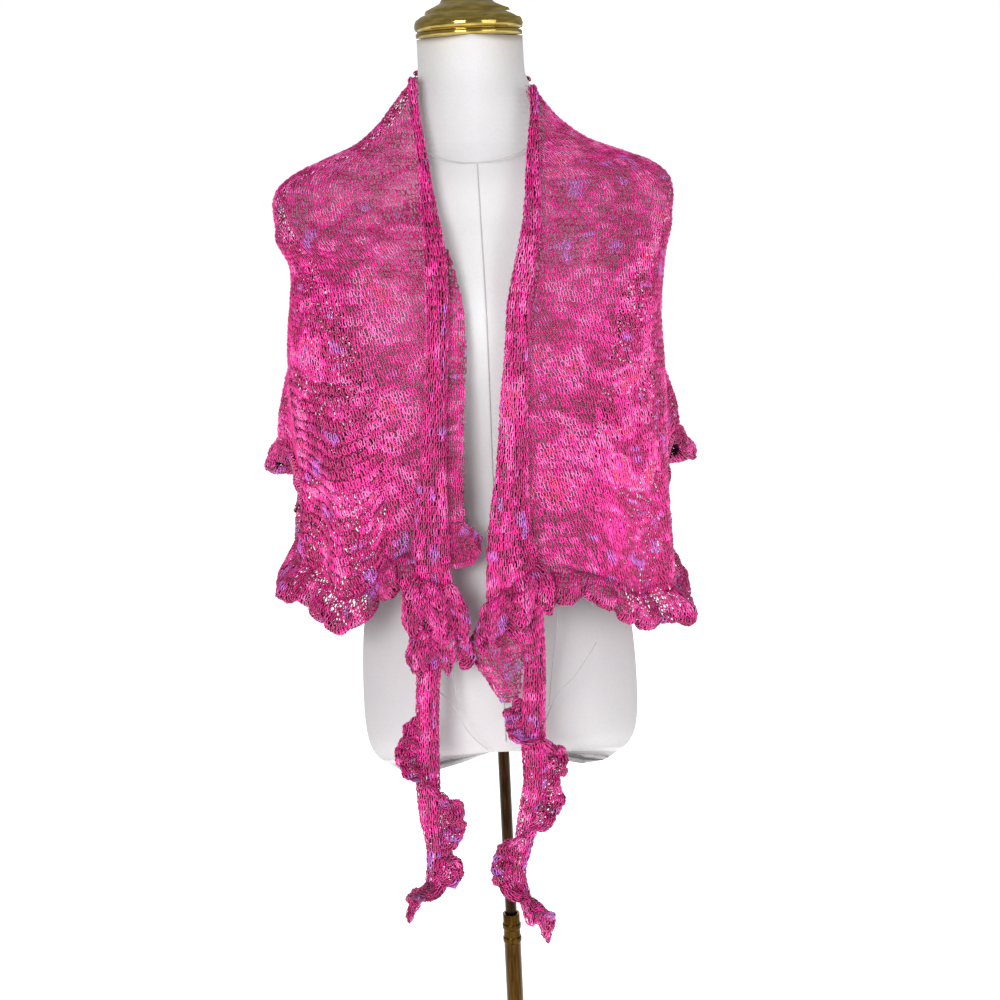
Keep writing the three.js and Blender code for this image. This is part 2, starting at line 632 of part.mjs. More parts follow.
function makeRollAndTie(side) {
  const { roll, tie, tilt, wind } = tables[side];
  const end = roll[0].z;
  const top = roll[roll.length - 1].z;
  const rollTilt = (z) => tilt * ease((end + TILT_REACH - z) / TILT_REACH);
  const tieTilt = (z) => tilt * ease((z - end + TILT_REACH) / TILT_REACH);
  add(clothGroup, `front_roll_${side}`, curl((z) => rollFrame(roll, z), top, end, ROLL_ROWS, rollTilt), 'knit');
  const tieTop = end - TIE_SEAM;
  add(clothGroup, `tie_end_${side}`, curl((z) => tieFrame(tie, z), tieTop, tie[0].z, TIE_ROWS, tieTilt), 'knit');

  const from = wind[0].z;
  const to = wind[wind.length - 1].z;
  const waves = Math.round((to - from) / TIE_WAVE_PITCH);
  add(clothGroup, `tie_ruffle_${side}`, wall(waves * 4, 2, (s, v) => {
    const z = mix(from, to, s);
    const angle = along(wind, 'z', z, 'angle');
    const width = along(wind, 'z', z, 'width');
    const phase = rad(90 + 360 * waves * s);
    const frame = tieFrame(tie, z);
    const root = ovalPoint(frame, angle, WALL / 2 + 0.2);
    const out = ovalPoint(frame, angle, 20).sub(root).normalize();
    const beside = new THREE.Vector3(-out.y, out.x, 0);
    return root
      .addScaledVector(out, width * v)
      .addScaledVector(beside, Math.min(TIE_WAVE_MOST, width * TIE_WAVE_SHARE) * v * Math.sin(phase))
      .add(new THREE.Vector3(0, 0, -v * (2 + TIP_DROP * (1 - s) ** 6)));
  }), 'ruffle');
}

const FRILL_WAVE = 3.4;
const FRILL_LIFT = 2.5;      // unevenness of a frill's lower edge

// A frill round the lower end of a roll or the top of its tie end.
function makeFrill({ name, side, from, to, top, tilt, drop, reach, waves }) {
  const { roll, tie, tilt: rollTilt } = tables[side];
  const end = roll[0].z;
  add(clothGroup, `end_ruffle_${name}`, wall(waves * COLUMNS_PER_WAVE, 3, (s, v) => {
    const angle = mix(from, to, s);
    const z = top + tilt / 2 * Math.cos(rad(angle));
    const level = z - rollTilt / 2 * Math.cos(rad(angle));
    const frame = level > end ? rollFrame(roll, level) : tieFrame(tie, level);
    const phase = rad(90 + 360 * waves * s);
    const stand = WALL / 2 + 0.5 + reach * ease(v * 1.4) + FRILL_WAVE * v * Math.sin(phase);
    const point = ovalPoint(frame, angle, stand);
    point.z = z - drop * v + FRILL_LIFT * v * Math.sin(phase / 2);
    return point;
  }), 'ruffle');
}

// The curled neck edge, from one front roll round behind the neck to the other.
const NECK_CURL = 3.2;
const NECK_CURL_OUT = 2.2;
const NECK_CURL_FROM = 114;  // the curl starts and ends this far round from the front
const NECK_CURL_TURN = [-110, 200];

function makeNeckRoll() {
  add(clothGroup, 'neck_roll', wall(6, 12, (s, t) => {
    const round = mix(NECK_CURL_FROM, 360 - NECK_CURL_FROM, t);
    const edge = clothPoint(round, neckEdge(round));
    const out = new THREE.Vector3(edge.x, edge.y, 0).normalize();
    const angle = mix(...NECK_CURL_TURN, s);
    return edge
      .addScaledVector(out, NECK_CURL_OUT + (NECK_CURL - WALL / 2) * Math.cos(rad(angle)))
      .add(new THREE.Vector3(0, 0, NECK_CURL + SEAM + (NECK_CURL - WALL / 2) * Math.sin(rad(angle))));
  }), 'knit');
}

// The strip that shows beside the left roll, and the ruffle at its lower end.
const INNER_RUFFLE = [
  { s: 0, x: -31, z: 985, toX: -15, toZ: 968 },
  { s: 0.35, x: -37, z: 984.4, toX: -18, toZ: 948 },
  { s: 0.7, x: -43, z: 984.4, toX: -31, toZ: 938 },
  { s: 1, x: -50, z: 984.4, toX: -47, toZ: 936 },
];

const INNER_TUCK = 1.2;      // how far the strip reaches under the roll
const INNER_WAVE = 3.5;
const INNER_WAVES = 3;

function makeInnerStrip() {
  const top = INNER_EDGE[INNER_EDGE.length - 1].z;
  const bottom = INNER_EDGE[0].z;
  add(clothGroup, 'front_inner_left', wall(3, 14, (s, t) => {
    const z = mix(top, bottom, t);
    const x = mix(along(ROLL_LEFT, 'z', z, 'x') + INNER_TUCK, along(INNER_EDGE, 'z', z, 'x'), s);
    return clothPoint(angleAt(x, z), z);
  }), 'ruffle');
  add(clothGroup, 'inner_ruffle_left', wall(INNER_WAVES * COLUMNS_PER_WAVE, 2, (s, v) => {
    const x = mix(along(INNER_RUFFLE, 's', s, 'x'), along(INNER_RUFFLE, 's', s, 'toX'), v);
    const z = mix(along(INNER_RUFFLE, 's', s, 'z') - SEAM - 0.2, along(INNER_RUFFLE, 's', s, 'toZ'), v);
    const point = clothPoint(angleAt(x, z), z);
    point.y += INNER_WAVE * v * (Math.sin(rad(360 * INNER_WAVES * s)) + 0.6);
    return point;
  }), 'ruffle');
}

const DRAPE_DEPTH = -119;    // where the drape's edges hang
const DRAPE_WAVE = 4;
const DRAPE_PITCH = 24;

// The drape at the right roll's inner corner: dark inside at its right, frilled along its left edge.
function makeDrape() {
  const top = DRAPE[DRAPE.length - 1].z;
  const bottom = DRAPE[0].z;
  add(clothGroup, 'end_drape_right', wall(7, 12, (s, t) => {
    const z = mix(top, bottom, t);
    const x = mix(along(DRAPE, 'z', z, 'left'), along(DRAPE, 'z', z, 'right'), s);
    const fold = along(DRAPE, 'z', z, 'fold');
    const wave = DRAPE_WAVE * (1 - s) ** 2 * Math.sin(rad(360 * (top - z) / DRAPE_PITCH));
    return new THREE.Vector3(x, DRAPE_DEPTH - fold * Math.sin(Math.PI * Math.min(1, s * 1.15)) - wave, z);
  }), 'ruffle');
}

// The lower edge of a panel, as the straight stretches between its columns.
function hemPolyline(columns, pointAt) {
  const points = [];
  for (let i = 0; i <= columns; i += 1) points.push(pointAt(i / columns));
  return (share) => {
    const at = Math.min(columns - 1e-6, Math.max(0, share * columns));
    const i = Math.floor(at);
    return points[i].clone().lerp(points[i + 1], at - i);
  };
}

// A ruffle along a stretch of hem, with a whole number of waves, so that neighbours meet at a crest.
function hemRuffle(name, hemAt, from, to, waves) {
  const smooth = 0.05;
  const seam = 0.0007;
  const [side, front] = [CLOTH_RINGS[1].left, CLOTH_RINGS[1].front];
  add(clothGroup, name, wall(waves * COLUMNS_PER_WAVE, 2, (s, v) => {
    const share = mix(from + seam, to - seam, s);
    const root = hemAt(share);
    const run = hemAt(Math.min(1, share + smooth)).sub(hemAt(Math.max(0, share - smooth))).normalize();
    const out = new THREE.Vector3(root.x / side ** 2, root.y / front ** 2, 0).normalize();
    const hang = new THREE.Vector3(0, 0, -1);
    const square = out.clone().cross(run).normalize();
    if (square.z > 0) square.negate();
    hang.lerp(square, RUFFLE_LEAN).normalize();
    root.addScaledVector(square, SEAM + 0.9);
    const bearing = Math.atan2(root.x, -root.y) * 180 / Math.PI;
    let flare = RUFFLE_FLARE;
    for (const row of FLARES) flare += row.out * Math.exp(-(((bearing - row.angle) / row.width) ** 2));
    const uneven = 1 + RUFFLE_UNEVEN * Math.sin(Math.PI * s * 7) * Math.sin(Math.PI * s * 3);
    const phase = rad(90 + 360 * (waves * s + 0.1 * Math.sin(2 * Math.PI * s * 3)));
    return root
      .addScaledVector(hang, RUFFLE_DEPTH * v * (1 - 0.1 * v) * mix(1, uneven, 0.5))
      .addScaledVector(out, RUFFLE_WAVE * uneven * v * Math.sin(phase) + flare * v * v)
      .addScaledVector(run, RUFFLE_SIDEWAYS * v * Math.sin(2 * phase));
  }, true), 'ruffle');
}

const FRONT_START = 0.13;    // share of a front's hem that the roll covers
const SIDE_SHARE = 0.24;     // share of the back's hem that each side ruffle takes

function makeHemRuffles() {
  const frontHem = (side) => hemPolyline(FRONT_COLUMNS, (s) => frontPoint(side, s, 1));
  const backHem = hemPolyline(BACK_COLUMNS, (s) => backPoint(s, 1));
  hemRuffle('hem_ruffle_front_left', frontHem(-1), FRONT_START, 1, 9);
  hemRuffle('hem_ruffle_side_left', backHem, 1 - SIDE_SHARE, 1, 8);
  hemRuffle('hem_ruffle_back', backHem, SIDE_SHARE, 1 - SIDE_SHARE, 15);
  hemRuffle('hem_ruffle_side_right', backHem, 0, SIDE_SHARE, 8);
  hemRuffle('hem_ruffle_front_right', frontHem(1), FRONT_START, 1, 9);
}

makeStand();
makeForm();
const leftFront = wall(FRONT_COLUMNS, PANEL_ROWS, (s, t) => frontPoint(-1, s, t), true);
const rightFront = wall(FRONT_COLUMNS, PANEL_ROWS, (s, t) => frontPoint(1, s, t), true);
add(clothGroup, 'front_panel_left', leftFront, 'knit');
add(clothGroup, 'front_panel_right', rightFront, 'knit');
add(clothGroup, 'back_panel', wall(BACK_COLUMNS, PANEL_ROWS, backPoint, true), 'knit');
makeNeckRoll();
makeRollAndTie('left');
makeRollAndTie('right');
makeInnerStrip();
for (const frill of FRILLS) makeFrill(frill);
makeDrape();
makeHemRuffles();

const model = new THREE.Group();
model.add(standGroup, formGroup, clothGroup);
export default model;
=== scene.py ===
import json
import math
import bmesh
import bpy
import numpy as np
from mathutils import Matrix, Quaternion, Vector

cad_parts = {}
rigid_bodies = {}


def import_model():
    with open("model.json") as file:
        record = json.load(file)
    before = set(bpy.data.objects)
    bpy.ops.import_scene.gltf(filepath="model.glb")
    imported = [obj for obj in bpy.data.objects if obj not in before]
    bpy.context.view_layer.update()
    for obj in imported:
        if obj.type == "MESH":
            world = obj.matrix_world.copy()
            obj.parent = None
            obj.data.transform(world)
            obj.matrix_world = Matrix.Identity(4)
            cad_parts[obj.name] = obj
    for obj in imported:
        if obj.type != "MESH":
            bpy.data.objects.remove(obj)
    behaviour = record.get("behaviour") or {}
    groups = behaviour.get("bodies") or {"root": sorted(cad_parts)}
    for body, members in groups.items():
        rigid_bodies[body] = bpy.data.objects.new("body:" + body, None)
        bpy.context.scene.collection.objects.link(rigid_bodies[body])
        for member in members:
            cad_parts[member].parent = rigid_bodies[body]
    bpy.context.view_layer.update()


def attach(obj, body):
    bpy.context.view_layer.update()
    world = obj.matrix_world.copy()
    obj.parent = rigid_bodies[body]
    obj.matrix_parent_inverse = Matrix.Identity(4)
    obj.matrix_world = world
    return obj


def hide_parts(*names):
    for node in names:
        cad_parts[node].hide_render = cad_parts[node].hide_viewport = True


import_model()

# %% [markdown]
# # An open knitted wrap on a dress form
# The frame gives the true sizes: a limbless dress form on a pole stand, and the walls of a knitted wrap
# that lies on it. This script dresses them. The wrap is knitted again from one long yarn a piece, so
# that its loops, its holes and the form behind them are really there and not painted on. Some light
# and shade is painted: on the yarn, and as a rosy tint on the canvas under it.

MM = 0.001

# %% [markdown]
# ## The camera
# The photo looks down a little at the wrap from just left of the middle, and is turned by a few
# degrees. A camera is easiest to set from what it looks at: a target, a distance and two angles. The
# lens is long enough that near and far edges keep almost the same scale.

# %% Camera
TARGET = Vector((0.009, 0.0, 0.981))
DISTANCE = 1.8
AZIMUTH, ELEVATION, ROLL = math.radians(-2), math.radians(12), math.radians(-2.66)
LENS_MM, SENSOR_MM = 60.57, 36

away = Vector((math.sin(AZIMUTH) * math.cos(ELEVATION), -math.cos(AZIMUTH) * math.cos(ELEVATION),
               math.sin(ELEVATION)))
camera = bpy.data.objects.new("camera", bpy.data.cameras.new("camera"))
bpy.context.scene.collection.objects.link(camera)
camera.location = TARGET + DISTANCE * away
camera.rotation_mode = "QUATERNION"
camera.rotation_quaternion = (-away).to_track_quat("-Z", "Y") @ Quaternion((0, 0, 1), ROLL)
camera.data.lens, camera.data.sensor_width = LENS_MM, SENSOR_MM
bpy.context.scene.camera = camera
print("camera at", [round(x, 3) for x in camera.location])

# %% [markdown]
# ## Tables that are read smoothly
# A body or a draped cloth has no formula, but a short table of its widths at a few heights is enough
# when it is read smoothly in between. Each table names its columns. NumPy reads it for thousands of
# points at once.

# %% Tables
def table(columns, rows):
    values = np.array([[float(x) for x in row.split()] for row in rows.split(",")])
    return {name: values[:, i] for i, name in enumerate(columns.split())}


def read(rows, at, column):
    keys, values = next(iter(rows.values())), rows[column]
    last = len(keys) - 1
    at = np.clip(np.asarray(at, float), keys[0], keys[-1])
    i = np.clip(np.searchsorted(keys, at) - 1, 0, last - 1)
    before, after = np.maximum(i - 1, 0), np.minimum(i + 2, last)
    span = keys[i + 1] - keys[i]
    t = (at - keys[i]) / span
    slope_in = (values[i + 1] - values[before]) / (keys[i + 1] - keys[before]) * span
    slope_out = (values[after] - values[i]) / (keys[after] - keys[i]) * span
    return ((2 * t ** 3 - 3 * t ** 2 + 1) * values[i] + (t ** 3 - 2 * t ** 2 + t) * slope_in
            + (3 * t ** 2 - 2 * t ** 3) * values[i + 1] + (t ** 3 - t ** 2) * slope_out)


def ease(t):
    c = np.clip(t, 0, 1)
    return c * c * (3 - 2 * c)


def mix(a, b, t):
    return a + (b - a) * t


def unit(v):
    return v / np.maximum(np.linalg.norm(v, axis=-1, keepdims=True), 1e-9)


def stack(x, y, z):
    return np.stack(np.broadcast_arrays(x, y, z), -1).astype(float)


print("a table is read between its rows:", float(read(table("z wide", "0 10, 10 30, 20 40"), 5, "wide")))

# %% [markdown]
# ## The dress form
# A dress form is a padded shell covered in canvas: neck, shoulders, bust, waist and hips, cut off at
# the thighs. Every level section is a rounded oval, deeper behind than in front, and a neck column
# rises out of the shoulders. All sizes are in millimetres, as on the frame.

# %% Sizes of the form
BODY_POWER = 2.4
NECK_FROM, NECK_RADIUS, NECK_RISE, NECK_BLEND = 1300, 53, 50, 6
ARCH_WIDTH, CROTCH, SEAT_RADIUS, NECK_TOP = 52, 722, 16, 1460
FORM_RINGS = table("z side front back arch", """
  689 117 58 70 34, 700 137 78 90 26, 728 148 93 105 9, 790 149 99 113 0, 850 144 96 108 0,
  905 133 90 97 0, 960 117 82 84 0, 1005 109 80 77 0, 1060 115 88 80 0, 1120 127 104 89 0,
  1165 138 115 96 0, 1200 148 117 100 0, 1230 163 106 101 0, 1262 184 92 99 0, 1286 197 82 95 0,
  1304 199 74 89 0, 1317 193 67 82 0, 1328 178 60 74 0, 1338 153 54 65 0, 1352 117 47 56 0,
  1372 88 40 46 0, 1384 76 35 41 0, 1399 63 31 36 0, 1410 53 29 33 0, 1428 38 24 27 0, 1460 33 22 24 0""")


def plan_point(angle, side, front, back):
    s, c = np.sin(np.radians(angle)), np.cos(np.radians(angle))
    scale = (np.abs(s) ** BODY_POWER + np.abs(c) ** BODY_POWER) ** (-1 / BODY_POWER)
    return side * s * scale, -np.where(c > 0, front, back) * c * scale


def form_point(angle, z):
    angle, z = np.broadcast_arrays(np.asarray(angle, float), np.asarray(z, float))
    x, y = plan_point(angle, *(read(FORM_RINGS, z, name) for name in ("side", "front", "back")))
    neck = NECK_RADIUS * ease((z - NECK_FROM) / NECK_RISE)
    reach = np.hypot(x, y)
    grow = (reach ** NECK_BLEND + neck ** NECK_BLEND) ** (1 / NECK_BLEND) / reach
    return stack(x * grow, y * grow, z)


def normal_of(surface, angle, z):
    across = surface(angle + 1, z) - surface(angle - 1, z)
    up = surface(angle, z + 1) - surface(angle, z - 1)
    return unit(np.cross(across, up))


print("waist width", 2 * round(float(form_point(90, 1005)[0])), "mm, hips", 2 * round(float(form_point(90, 790)[0])))

# %% [markdown]
# A torso like this could be sculpted or lofted. Here a circle is extruded upwards ring by ring, and
# each new ring is moved onto the form's section at its height. The underside curves in to a small flat
# seat round the pole, with a soft arch between the two thigh stumps.

# %% The form's shell
FORM_SIDES = 96
form_angles = 360 * np.arange(FORM_SIDES) / FORM_SIDES


def finish_piece(name, bm_or_mesh):
    mesh = bm_or_mesh
    if isinstance(bm_or_mesh, bmesh.types.BMesh):
        mesh = bpy.data.meshes.new(name)
        bm_or_mesh.to_mesh(mesh)
        bm_or_mesh.free()
    mesh.shade_smooth()
    piece = bpy.data.objects.new(name, mesh)
    bpy.context.scene.collection.objects.link(piece)
    return piece


def form_ring(z):
    ring = form_point(form_angles, z)
    ring[:, 2] += read(FORM_RINGS, z, "arch") * np.exp(-(ring[:, 0] / ARCH_WIDTH) ** 2)
    return ring


FORM_FOOT, UNDERSIDE_SWELL = 689.0, 4
lowest = form_ring(FORM_FOOT)
turn = np.radians(form_angles)
seat = stack(SEAT_RADIUS * np.sin(turn), -SEAT_RADIUS * np.cos(turn), CROTCH)
rings = []
for share in (0.0, 0.25, 0.5, 0.7, 0.84, 0.93, 0.98):
    ring = mix(seat, lowest, share)
    ring[:, 2] += np.minimum(UNDERSIDE_SWELL, 0.1 * (CROTCH - lowest[:, 2])) * math.sin(math.pi * share)
    rings.append(ring)
for first, last, step in ((689, 735, 4), (738, 1300, 10), (1304, NECK_TOP + 1, 6)):
    rings += [form_ring(z) for z in range(first, last, step)]

bm = bmesh.new()
loop = bmesh.ops.create_circle(bm, cap_ends=True, segments=FORM_SIDES, radius=SEAT_RADIUS * MM)["verts"]
for vert, place in zip(loop, rings[0]):
    vert.co = place * MM
edges = [e for e in bm.edges]
for ring in rings[1:]:
    grown = bmesh.ops.extrude_edge_only(bm, edges=edges)["geom"]
    edges = [g for g in grown if isinstance(g, bmesh.types.BMEdge)]
    fresh = [g for g in grown if isinstance(g, bmesh.types.BMVert)]
    for vert in fresh:
        vert.co = ring[int(round(math.degrees(math.atan2(vert.co.x, -vert.co.y)) / 360 * FORM_SIDES)) % FORM_SIDES] * MM
bmesh.ops.contextual_create(bm, geom=edges)
bmesh.ops.recalc_face_normals(bm, faces=bm.faces)
form = finish_piece("dress_form", bm)
print("dress form:", len(form.data.polygons), "faces")

# %% [markdown]
# ## Seams of the form
# The canvas cover is cut in panels. Its seams show as thin dark lines: down the centre front and back,
# down each side and over the hips, round the base of the neck, and in a curve over each thigh. A seam
# could be a groove, but a fine cord half sunk in the surface reads the same from a step away and
# leaves the shell whole.

# %% Seams
def angle_on(surface, x, z):
    x, z = np.broadcast_arrays(np.asarray(x, float), np.asarray(z, float))
    low, high = np.zeros(x.shape), 90 * np.sign(x)
    for _ in range(24):
        middle = (low + high) / 2
        near = np.abs(surface(middle, z)[..., 0]) < np.abs(x)
        low, high = np.where(near, middle, low), np.where(near, high, middle)
    return (low + high) / 2


def tilt_towards(points, facing):
    """The turn at each point that brings a section's upper side round to its facing, in the Z-Up twist."""
    steps = unit(np.diff(points, axis=0))
    ahead = unit(np.concatenate([steps[:1], steps[:-1] + steps[1:], steps[-1:]]))
    level = unit(stack(ahead[:, 1], -ahead[:, 0], 0))
    return np.arctan2((facing * level).sum(1), -(facing * np.cross(ahead, level)).sum(1))


def tube(name, lines, radius, section=None, sides=2, facing=None):
    curve = bpy.data.curves.new(name, "CURVE")
    curve.dimensions = "3D"
    curve.twist_mode = "Z_UP"
    curve.use_fill_caps = True
    if section is None:
        curve.bevel_depth, curve.bevel_resolution = radius * MM, sides
    else:
        curve.bevel_mode, curve.bevel_object = "OBJECT", section
    for points, radii in lines:
        spline = curve.splines.new("POLY")
        spline.points.add(len(points) - 1)
        spline.points.foreach_set("co", np.hstack([points * MM, np.ones((len(points), 1))]).ravel())
        spline.points.foreach_set("radius", np.broadcast_to(radii, len(points)).astype(np.float32))
        if facing is not None:
            spline.points.foreach_set("tilt", tilt_towards(points, facing).astype(np.float32))
        spline.use_smooth = True
    holder = bpy.data.objects.new(name, curve)
    bpy.context.scene.collection.objects.link(holder)
    bpy.context.view_layer.update()
    mesh = bpy.data.meshes.new_from_object(holder.evaluated_get(bpy.context.evaluated_depsgraph_get()))
    bpy.data.objects.remove(holder)
    bpy.data.curves.remove(curve)
    return mesh


LEG_SEAM = table("x z", "-100 840, -78 812, -54 788, -38 756, -18 734")
HIP_SEAM = table("z x", "760 44, 829 53, 878 60, 960 56, 1060 54, 1165 66, 1262 72, 1320 70")
heights = np.linspace(744, 1336, 90)
seams = [form_point(0.0, heights), form_point(180.0, np.linspace(744, 1398, 90))]
for side in (-1, 1):
    seams.append(form_point(side * 92.0, np.linspace(716, 1325, 80)))
    x = np.linspace(-100, -18, 30)
    z = read(LEG_SEAM, x, "z")
    seams.append(form_point(angle_on(form_point, -side * x, z), z))
    z = np.linspace(780, 1318, 70)
    x = read(HIP_SEAM, z, "x")
    seams.append(form_point(angle_on(form_point, side * x, z), z))
    seams.append(form_point(180 - angle_on(form_point, side * x, z), z))
round_neck, NECK_DIP = np.linspace(0, 360, 73), 18
seams.append(form_point(round_neck, 1336 + 30 * (1 - np.cos(np.radians(round_neck)))
                        + NECK_DIP * (1 - np.exp(-(np.minimum(round_neck, 360 - round_neck) / 25) ** 2))))
form_seams = finish_piece("form_seams", tube("form_seams", [(line, 1.0) for line in seams], 0.55, sides=1))
print("seams:", len(seams), "lines,", len(form_seams.data.polygons), "faces")

# %% [markdown]
# ## Turned metal: cap, poles and base
# The neck cap, the poles and the round base are turned on a lathe, and spin is the lathe of mesh
# modelling: an outline is swept once round the pole. The sharp ridges then get a small bevel, because
# an edge with no width never catches the light.

# %% Turned pieces
def turned(name, profile, steps=96, edge=0.5):
    bm = bmesh.new()
    verts = [bm.verts.new((radius * MM, 0, z * MM)) for radius, z in profile]
    outline = [bm.edges.new(pair) for pair in zip(verts, verts[1:])]
    bmesh.ops.spin(bm, geom=verts + outline, cent=(0, 0, 0), axis=(0, 0, 1), dvec=(0, 0, 0),
                   angle=math.tau, steps=steps, use_merge=True)
    bmesh.ops.remove_doubles(bm, verts=bm.verts, dist=1e-6)
    bmesh.ops.recalc_face_normals(bm, faces=bm.faces)
    ridges = [e for e in bm.edges if len(e.link_faces) == 2 and e.calc_face_angle() > math.radians(28)]
    bmesh.ops.bevel(bm, geom=ridges, offset=edge * MM, offset_type="OFFSET", segments=2, profile=0.5,
                    affect="EDGES", material=-1)
    piece = finish_piece(name, bm)
    print(name, len(piece.data.polygons), "faces")
    return piece


CAP_FOOT = NECK_TOP + 0.3
cap = turned("cap_brass", [
    (0, CAP_FOOT), (53.6, CAP_FOOT), (54.6, 1462.5), (54.4, 1464.6), (52.6, 1466.5), (54.8, 1468.2), (55.6, 1470.6),
    (55.4, 1473.5), (54.4, 1477.2), (51, 1480.4), (45.4, 1483), (43.2, 1487), (38, 1490.2), (31, 1493.2), (28.2, 1495.4),
    (26.6, 1498), (18.8, 1499.4), (18.4, 1502), (18.8, 1505), (17.3, 1508.6), (12, 1513.4), (6, 1515.6), (0, 1516)],
    edge=0.35)

POLE_RADIUS, POLE_FOOT, SOCKET_RADIUS = 6.5, 205, 13
pole_upper = turned("pole_inner", [
    (0, POLE_FOOT), (POLE_RADIUS, POLE_FOOT), (POLE_RADIUS, CROTCH - 6), (SOCKET_RADIUS, CROTCH - 5),
    (SOCKET_RADIUS, CROTCH - 0.3), (0, CROTCH - 0.3)], steps=48)

TUBE_BORE, TUBE_RADIUS, TUBE_TOP, BOSS_TOP = 6.9, 9.5, 505, 34
collar = []
for z in (474, 490):
    collar += [(TUBE_RADIUS, z - 3.7), (TUBE_RADIUS + 0.7, z - 3), (TUBE_RADIUS + 1, z - 2), (TUBE_RADIUS + 1, z + 2),
               (TUBE_RADIUS + 0.7, z + 3), (TUBE_RADIUS, z + 3.7)]
tube_outline = [(TUBE_BORE, BOSS_TOP + 0.3), (TUBE_RADIUS, BOSS_TOP + 0.3), *collar, (TUBE_RADIUS, TUBE_TOP),
                (TUBE_BORE, TUBE_TOP), (TUBE_BORE, BOSS_TOP + 0.3)]
pole_lower = turned("pole_tube", tube_outline, steps=48, edge=0.3)

base = turned("base_round", [
    (0, 0), (159, 0), (160, 1), (160, 6), (158.6, 8.6), (152, 12), (110, 15.6), (60, 18.4), (36, 21.6), (28, 24.6),
    (22.6, 29.5), (21, BOSS_TOP), (0, BOSS_TOP)], edge=0.4)

# %% [markdown]
# ## Where the cloth lies
# Above the shoulders the knit rests on the form, and below them it hangs free in soft folds. So its
# surface mixes two: a skin just outside the form, and a wider hanging ring with ridges and troughs
# added one by one. Angles go round the body from the centre front, minus to the photo's left.

# %% The cloth's surface
WALL, RIDE, REST_FROM, REST_FULL = 2, 1.1, 1262, 1306
LIFT_ANGLE, LIFT_WIDTH = -92, 42
CLOTH_RINGS = table("z left right front back", """
  860 200 186 117 134, 935 199 185 115 126, 1000 196 184 114 117, 1040 199 186 115 113, 1084 203 188 117 111,
  1130 205 187 120 112, 1170 203 185 123 112, 1205 198 187 123 114, 1240 196 192 114 113, 1270 210 200 101 107,
  1306 212 205 84 97""")
SHOULDER_LIFT = table("z lift", "1262 6, 1304 8, 1328 5, 1352 6, 1384 9, 1405 7, 1428 0")
FOLDS = table("angle width depth start full", """
  -111 10 40 1180 1040, -84 8 4 990 925, -78 9 7 1080 950, -62 8 -8 1120 950, -50 8 7 1150 930,
  -38 5 -13 1080 940, -29 4 3 1050 950, 40 7 5 1100 930, 56 7 -7 1060 900, 70 8 7 1100 920, 82 8 4 960 880,
  111 10 36 1160 1040, -134 9 -9 1180 1000, -150 9 10 1200 980, -166 9 -8 1160 960, 180 10 9 1180 960,
  165 9 -9 1150 960, 149 9 10 1200 980, 134 9 -8 1180 1000""")
CREASES = table("angle width depth start full", """
  -70 3 -2.5 1180 1010, -56 3 -2 1100 1000, -44 3 2 1180 1080, 33 3 2 1160 1020, 47 3 -2.5 1120 980,
  63 3 -2.5 1180 1020, 76 3 2 1120 1000, -126 4 3 1160 1060, -158 4 -3 1180 1000, 172 4 -3 1200 1020,
  157 4 3 1150 1000, 126 4 -3 1140 1040""")


def cloth_point(angle, z):
    angle, z = np.broadcast_arrays(np.asarray(angle, float), np.asarray(z, float))
    side = np.where(np.sin(np.radians(angle)) < 0, read(CLOTH_RINGS, z, "left"), read(CLOTH_RINGS, z, "right"))
    front, back = read(CLOTH_RINGS, z, "front"), read(CLOTH_RINGS, z, "back")
    x, y = plan_point(angle, side, front, back)
    hung = stack(x, y, z)
    out = unit(stack(x / side ** 2, y / front ** 2, 0))
    for rows in (FOLDS, CREASES):
        for middle, width, depth, start, full in zip(*rows.values()):
            off = angle - middle
            off = off - 360 * np.round(off / 360)
            reach = ease((start - z) / (start - full)) * np.exp(-(off / width) ** 2)
            hung += out * (depth * reach)[..., None]
    turn = angle - LIFT_ANGLE
    turn = turn - 360 * np.round(turn / 360)
    lift = read(SHOULDER_LIFT, z, "lift") * np.exp(-(turn / LIFT_WIDTH) ** 2)
    laid = form_point(angle, z) + normal_of(form_point, angle, z) * (RIDE + WALL / 2 + lift)[..., None]
    return mix(hung, laid, ease((z - REST_FROM) / (REST_FULL - REST_FROM))[..., None])


print("cloth width at 1130 mm:", round(float(cloth_point(90, 1130)[0] - cloth_point(-90, 1130)[0])), "mm")

# %% [markdown]
# ## Knitting with one yarn
# A knitted cloth is one yarn bent into rows of loops, each loop pulled through the one below. The path
# of a row is well known: it goes forward, swings sideways twice a loop, goes up and down once, and in
# and out twice. A real knit could be faked with a bump map, but here light has to fall through its
# holes onto the form, so the yarn is laid for real, back and forth over the piece's surface.
#
# The surface comes as a grid of points. Rows are placed evenly by length, so that where the cloth is
# stretched the loops open, and where it is gathered they crowd.

# %% Laying the yarn
def blend_at(grid, row, column):
    r, c = np.clip(row, 0, grid.shape[0] - 1.001), np.clip(column, 0, grid.shape[1] - 1.001)
    i, j = r.astype(int), c.astype(int)
    fr, fc = (r - i)[:, None], (c - j)[:, None]
    return (grid[i, j] * (1 - fr) * (1 - fc) + grid[i + 1, j] * fr * (1 - fc)
            + grid[i, j + 1] * (1 - fr) * fc + grid[i + 1, j + 1] * fr * fc)


def wander(random, count, step):
    """A slow random number along the yarn, from -1 to 1, that changes over a step of points."""
    knots = random.uniform(-1, 1, int(count / step) + 3)
    return np.interp(np.arange(count) / step, np.arange(len(knots)), knots)


GARTER_RIDGE = 0.8      # how far every second row stands out in garter knitting


